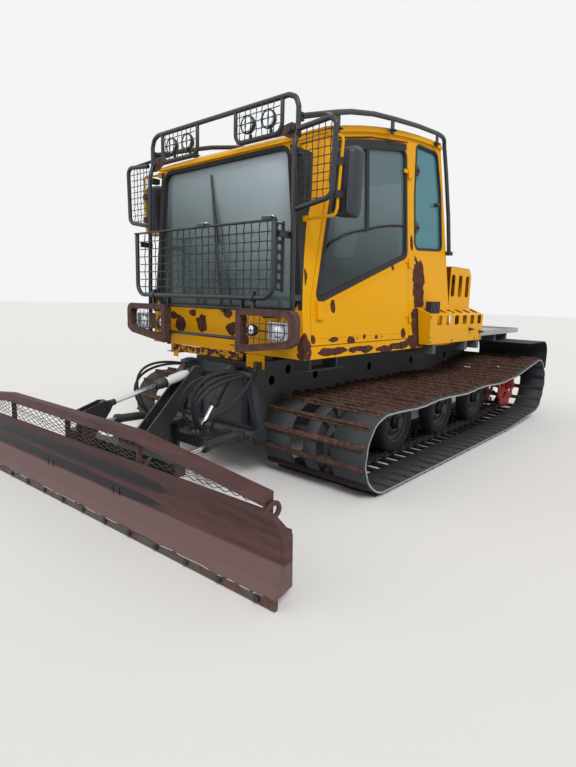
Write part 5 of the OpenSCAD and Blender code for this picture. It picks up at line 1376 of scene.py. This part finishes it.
def engine_cover():
    form = Form()
    front, rear, low, knee, top, hood_top = -0.150, -1.362, 0.946, 1.206, 1.266, 1.665
    half, shelf, hood = 0.950, 0.810, 0.790
    vents = [-0.345 - 0.185 * i for i in range(6)]
    slope = math.hypot(half - shelf, top - knee)
    for side in (1, -1):
        mirror = mirrored(side)
        corners = [(front, low), (rear, low), (rear, knee), (front, knee)]
        outline = filleted(corners, (0.012, 0.012, 0, 0), 3, True)
        slots = [rounded_slot(x, 1.156, 0.098, 0.086) for x in vents]
        form.plate(outline, slots, SHEET, upright(half, side), "cover_yellow")
        lean = lambda u, v, w, side=side: Vector((
            u, side * (half - v * (half - shelf) / slope + w * (top - knee) / slope),
            knee + v * (top - knee) / slope + w * (half - shelf) / slope))
        outline = [(front, 0), (rear, 0), (rear, slope), (front, slope)]
        slots = [rounded_slot(x, slope * 0.52, 0.098, 0.078) for x in vents[1:]]
        form.plate(outline, slots, SHEET, lean, "cover_yellow")
        form.block((rear, hood, top - 0.005), (-0.840, shelf, top), "cover_yellow", mirror)
        outline = [(-0.860, top), (rear, top), (rear, hood_top - 0.070), (rear + 0.060, hood_top),
                   (-0.860, hood_top)]
        slots = [rounded_slot(x, 1.482, 0.090, 0.215, 0.030) for x in (-0.930, -1.102, -1.274)]
        form.plate(outline, slots, SHEET, upright(hood, side), "cover_yellow")
        # Front end of the side box, up to the cab
        end = sided(side, ((half_w(low) + 0.012, low), (half, low), (half, knee),
                           (half_w(1.25) + 0.012, 1.257)))
        form.prism(end, (front - 0.005, front), on_front(0), "cover_yellow")
        # Rubber-lipped intake on the front corner
        for k in range(7):
            form.block((-0.225 - 0.026 * k, 0.868, 1.214), (-0.212 - 0.026 * k, 0.925, 1.322),
                       "black_plastic", mirror)
        form.block((-0.400, 0.872, 1.210), (-0.205, 0.900, 1.316), "black_rubber", mirror)
        # Turn latches
        for x, z in ((-1.030, 1.062), (-1.300, 1.030)):
            form.turned([(0.0, 0.020), (0.006, 0.019), (0.010, 0.011), (0.030, 0.011)],
                        about("y", x, side * half, z, side), "black_plastic", 18)
            form.tube([(x - 0.034, side * (half + 0.031), z), (x, side * (half + 0.033), z),
                       (x + 0.034, side * (half + 0.031), z)],
                      [0.008, 0.010, 0.008], "black_plastic", 10)
        for x in (front - 0.030, -0.620, -1.170, rear + 0.030):
            bolt("vehicle", (x, side * half, low + 0.022), (0, side, 0), 0.008)
        for z in (1.010, 1.188):
            bolt("vehicle", (front - 0.022, side * half, z), (0, side, 0), 0.007)
    form.block((rear + 0.060, -hood, hood_top - 0.005), (-0.860, hood, hood_top), "cover_yellow")
    chamfer = [(rear, hood_top - 0.070), (rear + 0.060, hood_top), (rear + 0.0605, hood_top - 0.006),
               (rear + 0.005, hood_top - 0.072)]
    form.prism(chamfer, (-hood, hood), crosswise, "cover_yellow")
    outline = [(-half, low), (half, low), (half, knee), (shelf, top), (hood, top), (hood, hood_top - 0.070),
               (-hood, hood_top - 0.070), (-hood, top), (-shelf, top), (-half, knee)]
    vents = [rounded_slot(0.180 * i, 1.120, 0.140, 0.200, 0.020) for i in range(-3, 4)]
    form.plate(outline, vents, SHEET, lambda u, v, w: Vector((rear + SHEET[0] - w, u, v)), "cover_yellow")
    for y in (-0.60, 0.60):
        for z in (1.32, 1.54):
            form.turned([(0.0, 0.016), (0.008, 0.015)], about("x", rear, y, z, -1), "black_plastic", 14)
    form.piece("engine_cover_sheets", "yellow_paint", replaces=("engine_cover",), bevel=0.0015)


# Blade: expanded mesh, eye, and worn edges

# The plate's face from its foot to its upper edge: x and z
MOLD = [(2.633, 0.050), (2.599, 0.092), (2.574, 0.187), (2.587, 0.314), (2.632, 0.405), (2.677, 0.470)]
# Strands of the mesh: rows, length of a zig, half of its height, and radius
STRANDS, STRAND_PITCH, STRAND_ZIG, STRAND_R = 8, 0.034, 0.0062, 0.0022
MESH_FOOT_Z, MESH_HEIGHT = 0.4765, 0.1005
# Half widths of the mesh between the posts and of the whole blade
INNER_REACH, BLADE_REACH = 0.694, 1.618


def strand_z(row):
    return MESH_FOOT_Z + (row + 0.5) * MESH_HEIGHT / STRANDS


def zig(step, row):
    return STRAND_ZIG if (step + row) % 2 else -STRAND_ZIG


def blade_dressing():
    form = Form()
    # Slit and stretched strands, level between the posts and under the falling rail beyond them
    for row in range(STRANDS):
        z = strand_z(row)
        count = int(2 * INNER_REACH / STRAND_PITCH)
        path = []
        for k in range(count + 1):
            y = -INNER_REACH + 2 * INNER_REACH * k / count
            bulge = 0.004 * math.sin(y * 7.0 + row) + 0.003 * math.sin(y * 23.0)
            x = 2.666 + bulge + (0.0012 if k % 2 else -0.0012)
            path.append(parked((x, y, z + zig(k, row) + 0.003 * math.sin(y * 5.0 + 1.3 * row))))
        form.tube(path, STRAND_R, "mesh_dark", 4)
    for side in (1, -1):
        for row in range(STRANDS):
            z = strand_z(row)
            reach = 0.722 + (0.577 - z) / 0.096 * 0.868
            start = 0.730 if row < 2 or side < 0 else 0.930 + 0.02 * (row % 3)
            count = int((reach - start) / STRAND_PITCH)
            if count < 2:
                continue
            path = [parked((2.660 + 0.003 * math.sin(k * 0.9), side * (start + STRAND_PITCH * k),
                            z + zig(k, row)))
                    for k in range(count + 1)]
            form.tube(path, STRAND_R, "mesh_rust", 4)
    form.piece("blade_mesh", "worn_steel", "blade", ("blade_screen",))
    form = Form()
    for side in (1, -1):
        # Ring at the end plate's upper corner
        ring = [parked((2.640 + 0.036 * math.cos(a), side * 1.606, 0.462 + 0.030 * math.sin(a)))
                for a in (2 * math.pi * k / 20 for k in range(20))]
        form.tube(ring, 0.011, "blade_maroon", 10, closed=True)
        # Folded lip along the end plate
        lip = [parked((x + 0.002, side * 1.6165, z)) for x, z in MOLD]
        form.tube(lip, 0.0035, "blade_maroon", 8)
        # Weld beads where the posts meet the rail
        for y in (0.700, 0.0):
            bead = [parked((2.6785, side * y + k * 0.005, 0.577 + 0.0015 * (k % 2))) for k in range(-3, 4)]
            form.tube(bead, 0.003, "blade_maroon", 6)
    # The pale line that the cutting edge leaves on the plate, wavy with wear
    line = []
    steps = 108
    for k in range(steps + 1):
        y = -BLADE_REACH + 2 * BLADE_REACH * k / steps
        line.append(parked((2.6325, y, 0.0505 + 0.0022 * math.sin(k * 0.9) + 0.0018 * math.sin(k * 0.37))))
    form.tube(line, 0.0026, "worn_line", 6)
    form.piece("blade_trims", "blade_paint", "blade")
    for k in range(14):
        y = -1.52 + 3.04 * k / 13
        bolt("blade", parked((2.632, y, 0.030)), (1, 0.047, 0), 0.016)


def pitch_cylinder():
    """White barrel with a black gland, and its long bright rod."""
    a, b = Vector(parked((1.730, 0.100, 0.790))), Vector(parked((2.460, 0.100, 0.640)))
    along = (b - a).normalized()
    across = Vector((0, 1, 0)) - along * along.y
    across.normalize()
    third = along.cross(across)
    # Along the cylinder, and across it about its two ends
    lengthwise = lambda s, u, v: a + along * s + across * u + third * v
    front_eye = lambda s, u, v: b + across * s + along * u + third * v
    rear_eye = lambda s, u, v: a + across * s + along * u + third * v
    form = Form()
    barrel = [(0.030, 0.018), (0.050, 0.031), (0.060, 0.032), (0.275, 0.032), (0.278, 0.030)]
    gland = [(0.274, 0.033), (0.278, 0.0365), (0.316, 0.0365), (0.322, 0.033), (0.352, 0.033), (0.358, 0.026),
             (0.360, 0.018)]
    collar = [(0.052, 0.0335), (0.056, 0.036), (0.084, 0.036), (0.088, 0.0335)]
    for profile, finish in ((barrel, "cylinder_white"), (gland, "hitch_black"), (collar, "hitch_black")):
        form.turned(profile, lengthwise, finish, 28)
    form.turned([(-0.020, 0.034), (0.020, 0.034)], rear_eye, "hitch_black", 26, False)
    # Hose ports
    for s in (0.095, 0.255):
        port = lambda h, u, v, s=s: a + along * (s + u) + across * v + third * h
        form.turned([(0.028, 0.010), (0.050, 0.010), (0.054, 0.013), (0.066, 0.013)], port, "hitch_black", 12,
                    False)
    form.piece("pitch_cylinder_barrel", "white_paint", "pitch_barrel", ("pitch_barrel",), 0.001)
    form = Form()
    length = (b - a).length
    form.turned([(0.340, 0.0148), (length - 0.070, 0.0148)], lengthwise, "rod_chrome", 24)
    collar = [(length - 0.074, 0.019), (length - 0.040, 0.021), (length - 0.024, 0.024)]
    form.turned(collar, lengthwise, "hitch_black", 20)
    form.turned([(-0.020, 0.033), (0.020, 0.033)], front_eye, "hitch_black", 26, False)
    form.piece("pitch_cylinder_rod", "rod_chrome", "pitch_rod", ("pitch_rod",), 0.001)


def sagging(start, end, out, into, count):
    """A smooth line between two points that leaves and arrives in given directions."""
    start, end, out, into = Vector(start), Vector(end), Vector(out), Vector(into)
    line = []
    for k in range(count + 1):
        t = k / count
        near = start * (1 - t) ** 3 + (start + out) * 3 * t * (1 - t) ** 2
        line.append(near + (end + into) * 3 * t * t * (1 - t) + end * t ** 3)
    return line


# Hoses to the blade: radius, first point, last point, and how each leaves them
HOSES = [
    (0.0140, (1.478, 0.330, 0.772), (1.835, 0.262, 0.372), (0.44, 0.03, 0.08), (0.20, 0.08, 0.34)),
    (0.0140, (1.478, 0.365, 0.770), (1.800, 0.262, 0.372), (0.47, 0.04, 0.04), (0.27, 0.12, 0.28)),
    (0.0140, (1.478, 0.400, 0.768), (1.765, 0.262, 0.372), (0.50, 0.03, 0.00), (0.33, 0.14, 0.21)),
    (0.0095, (1.478, 0.310, 0.750), (1.850, 0.240, 0.372), (0.56, 0.06, 0.12), (0.28, 0.05, 0.30)),
    (0.0095, (1.478, -0.300, 0.772), (1.830, -0.262, 0.372), (0.50, -0.05, 0.12), (0.22, -0.06, 0.30)),
    (0.0095, (1.478, -0.340, 0.770), (1.800, -0.262, 0.372), (0.44, -0.06, 0.06), (0.30, -0.10, 0.22)),
    (0.0085, (1.475, 0.445, 0.840), (1.700, 0.262, 0.372), (0.18, 0.10, -0.26), (0.22, 0.14, 0.16)),
    (0.0080, (1.478, 0.350, 0.750), (1.730, 0.240, 0.372), (0.20, 0.12, -0.30), (0.24, 0.06, 0.16)),
]


def hoses():
    form = Form()
    for radius, start, end, out, into in HOSES:
        form.tube(sagging(start, end, out, into, 26), radius, "black_rubber", 12)
        for end_point, direction in ((start, out), (end, into)):
            way = Vector(direction).normalized()
            p = Vector(end_point)
            form.tube([p - way * 0.004, p + way * 0.012, p + way * 0.014, p + way * 0.052],
                      [radius * 1.5, radius * 1.5, radius * 1.25, radius * 1.2], "edge_steel", 12)
    made = form.piece("blade_hoses", "black_rubber", None)
    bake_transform(made)


def hose_blocks():
    """The manifold on the carrier and the junction plate on the push frame."""
    form = Form()
    for side in (1, -1):
        mirror = mirrored(side)
        form.block((1.440, 0.290, 0.738), (1.470, 0.425, 0.800), "hitch_black", mirror)
        for y in (0.330, 0.365, 0.400):
            outlet = about("x", 1.468, side * y, 0.770)
            form.turned([(0.0, 0.019), (0.014, 0.019)], outlet, "edge_steel", 6, False)
    form.block((1.440, 0.418, 0.815), (1.474, 0.470, 0.866), "hitch_black")
    form.piece("hose_manifold", "black_paint", bevel=0.002)
    form = Form()
    for side in (1, -1):
        form.block((1.675, 0.228, 0.358), (1.866, 0.292, 0.374), "hitch_black", mirrored(side))
    form.piece("hose_junction", "black_paint", "push_frame", bevel=0.002)


# Seats: crowned cushions with sewn channels

CHANNELS, CHANNEL_DEPTH = 3, 0.05


def stuffed(low, high, middle, upright_part):
    """A crowned pad between two corners, sewn into channels.
    An upright one leans back and narrows upwards."""
    mesh = bmesh.new()
    bmesh.ops.create_cube(mesh, size=1.0)
    bmesh.ops.subdivide_edges(mesh, edges=mesh.edges, cuts=9, use_grid_fill=True)
    size = [high[i] - low[i] for i in range(3)]
    thin = 0 if upright_part else 2
    for vert in mesh.verts:
        u = [2 * vert.co[i] for i in range(3)]
        away = [abs(u[i]) for i in range(3) if i != thin]
        crown = (1 - away[0] ** 3) * (1 - away[1] ** 3)
        wave = abs(math.sin(CHANNELS * math.pi * u[2 - thin]))
        channel = CHANNEL_DEPTH * wave ** 0.35 - CHANNEL_DEPTH
        pull = 1 - 0.035 * (1 - min(1.0, away[0] ** 2)) * (1 if away[1] > 0.9 else 0)
        place = [low[i] + size[i] * (vert.co[i] * (1 if i == thin else pull) + 0.5) for i in range(3)]
        depth = 0.82 + 0.18 * crown + (channel if crown > 0.1 else 0)
        place[thin] = (low[thin] + high[thin]) / 2 + vert.co[thin] * size[thin] * depth
        if upright_part:
            rise = (place[2] - low[2]) / size[2]
            place[0] += 0.085 - 0.150 * rise
            place[1] = middle + (place[1] - middle) * (1 - 0.16 * rise ** 3)
        vert.co = place
    return mesh


def seats():
    for side, name in SIDES:
        y = side * 0.390
        for part, low, high in (("cushion", (0.03, y - 0.232, 1.185), (0.545, y + 0.232, 1.300)),
                                ("backrest", (-0.155, y - 0.218, 1.285), (-0.010, y + 0.218, 1.955))):
            mesh = stuffed(low, high, y, part == "backrest")
            data = bpy.data.meshes.new(name + "_seat_" + part)
            mesh.to_mesh(data)
            mesh.free()
            for face in data.polygons:
                face.use_smooth = True
            data.materials.append(MATERIALS["seat_cloth"])
            made = new_object(name + "_seat_" + part, data)
            swell = made.modifiers.new("round", "SUBSURF")
            swell.levels = swell.render_levels = 1
            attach(made, "vehicle")
            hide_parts("seats")
        form = Form()
        form.block((0.060, y - 0.150, 0.958), (0.400, y + 0.150, 1.182), "black_plastic")
        form.block((0.020, y - 0.200, 1.172), (0.520, y + 0.200, 1.186), "black_plastic")
        form.piece(name + "_seat_base", "black_plastic", replaces=("seats",), bevel=0.012)


engine_cover()
blade_dressing()
pitch_cylinder()
hoses()
hose_blocks()
seats()

# Fasteners: one tree puts a hexagon head and its washer at every point


def fastener_tree():
    tree, given = points_tree(
        "fasteners", [("Head Width", FLOAT, 1.8), ("Head Height", FLOAT, 0.75), ("Washer Width", FLOAT, 2.5)])
    half = lambda socket: times(tree, given[socket], 0.5)
    head = add(tree, "GeometryNodeMeshCylinder", {
        "Vertices": 6, "Radius": half("Head Width"), "Depth": given["Head Height"]})
    washer = add(tree, "GeometryNodeMeshCylinder", {
        "Vertices": 12, "Radius": half("Washer Width"), "Depth": 0.2})
    lift = add(tree, "ShaderNodeCombineXYZ", {"Z": plus(tree, half("Head Height"), 0.05)})
    raised = add(tree, "GeometryNodeTransform", {
        "Geometry": head.outputs["Mesh"], "Translation": lift.outputs[0]})
    both = tree.nodes.new("GeometryNodeJoinGeometry")
    for made in (washer.outputs["Mesh"], raised.outputs[0]):
        tree.links.new(made, both.inputs[0])
    turn = add(tree, "FunctionNodeAlignRotationToVector",
               {"Vector": attribute(tree, "facing", "FLOAT_VECTOR")}, axis="Z")
    return set_on_points(tree, given, both.outputs[0], turn.outputs[0], attribute(tree, "size", "FLOAT"))


def place_fasteners():
    tree = fastener_tree()
    for body, rows in BOLTS.items():
        attributes = {"facing": ("FLOAT_VECTOR", "vector", [part for row in rows for part in row[1]]),
                      "size": ("FLOAT", "value", [row[2] for row in rows])}
        made = from_points(body + "_fasteners", [row[0] for row in rows], attributes, tree,
                           Finish=MATERIALS["hitch_black"])
        for face in made.data.polygons:
            face.use_smooth = False
        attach(made, body)


place_fasteners()

# Studio

FLOOR_REACH = 60.0
# Each lamp: name, strength, softness in degrees, where it shines from
LAMPS = (("key", 1.9, 22, (0.75, 1.0, 1.25)), ("fill", 0.5, 60, (1.0, -0.9, 0.7)))


def studio():
    world = bpy.data.worlds.new("studio")
    bpy.context.scene.world = world
    world.use_nodes = True
    tree = world.node_tree
    tree.nodes.clear()
    rays = tree.nodes.new("ShaderNodeLightPath").outputs
    mirrored_or_through = larger(tree, rays["Is Glossy Ray"], rays["Is Transmission Ray"])
    seen = larger(tree, rays["Is Camera Ray"], mirrored_or_through)
    ambient = add(tree, "ShaderNodeBackground", {"Color": (1, 1, 1, 1), "Strength": 0.5})
    shown = add(tree, "ShaderNodeBackground", {"Color": (0.90, 0.91, 0.92, 1), "Strength": 1.0})
    mix = add(tree, "ShaderNodeMixShader", {0: seen, 1: ambient.outputs[0], 2: shown.outputs[0]})
    out = tree.nodes.new("ShaderNodeOutputWorld")
    tree.links.new(mix.outputs[0], out.inputs["Surface"])
    for name, strength, softness, source in LAMPS:
        lamp = bpy.data.lights.new(name, "SUN")
        lamp.energy = strength
        lamp.angle = math.radians(softness)
        holder = new_object(name, lamp)
        holder.rotation_mode = "QUATERNION"
        holder.rotation_quaternion = Vector(source).to_track_quat("Z", "Y")
    mesh = bpy.data.meshes.new("floor")
    corners = [(x * FLOOR_REACH, y * FLOOR_REACH, 0) for x, y in ((-1, -1), (1, -1), (1, 1), (-1, 1))]
    mesh.from_pydata(corners, [], [(0, 1, 2, 3)])
    floor = new_object("floor", mesh)
    material, tree, surface = new_material("floor")
    finish_surface(tree, surface, (0.80, 0.79, 0.77, 1), 0.9)
    mesh.materials.append(material)


studio()
bpy.context.scene.view_settings.view_transform = "Standard"
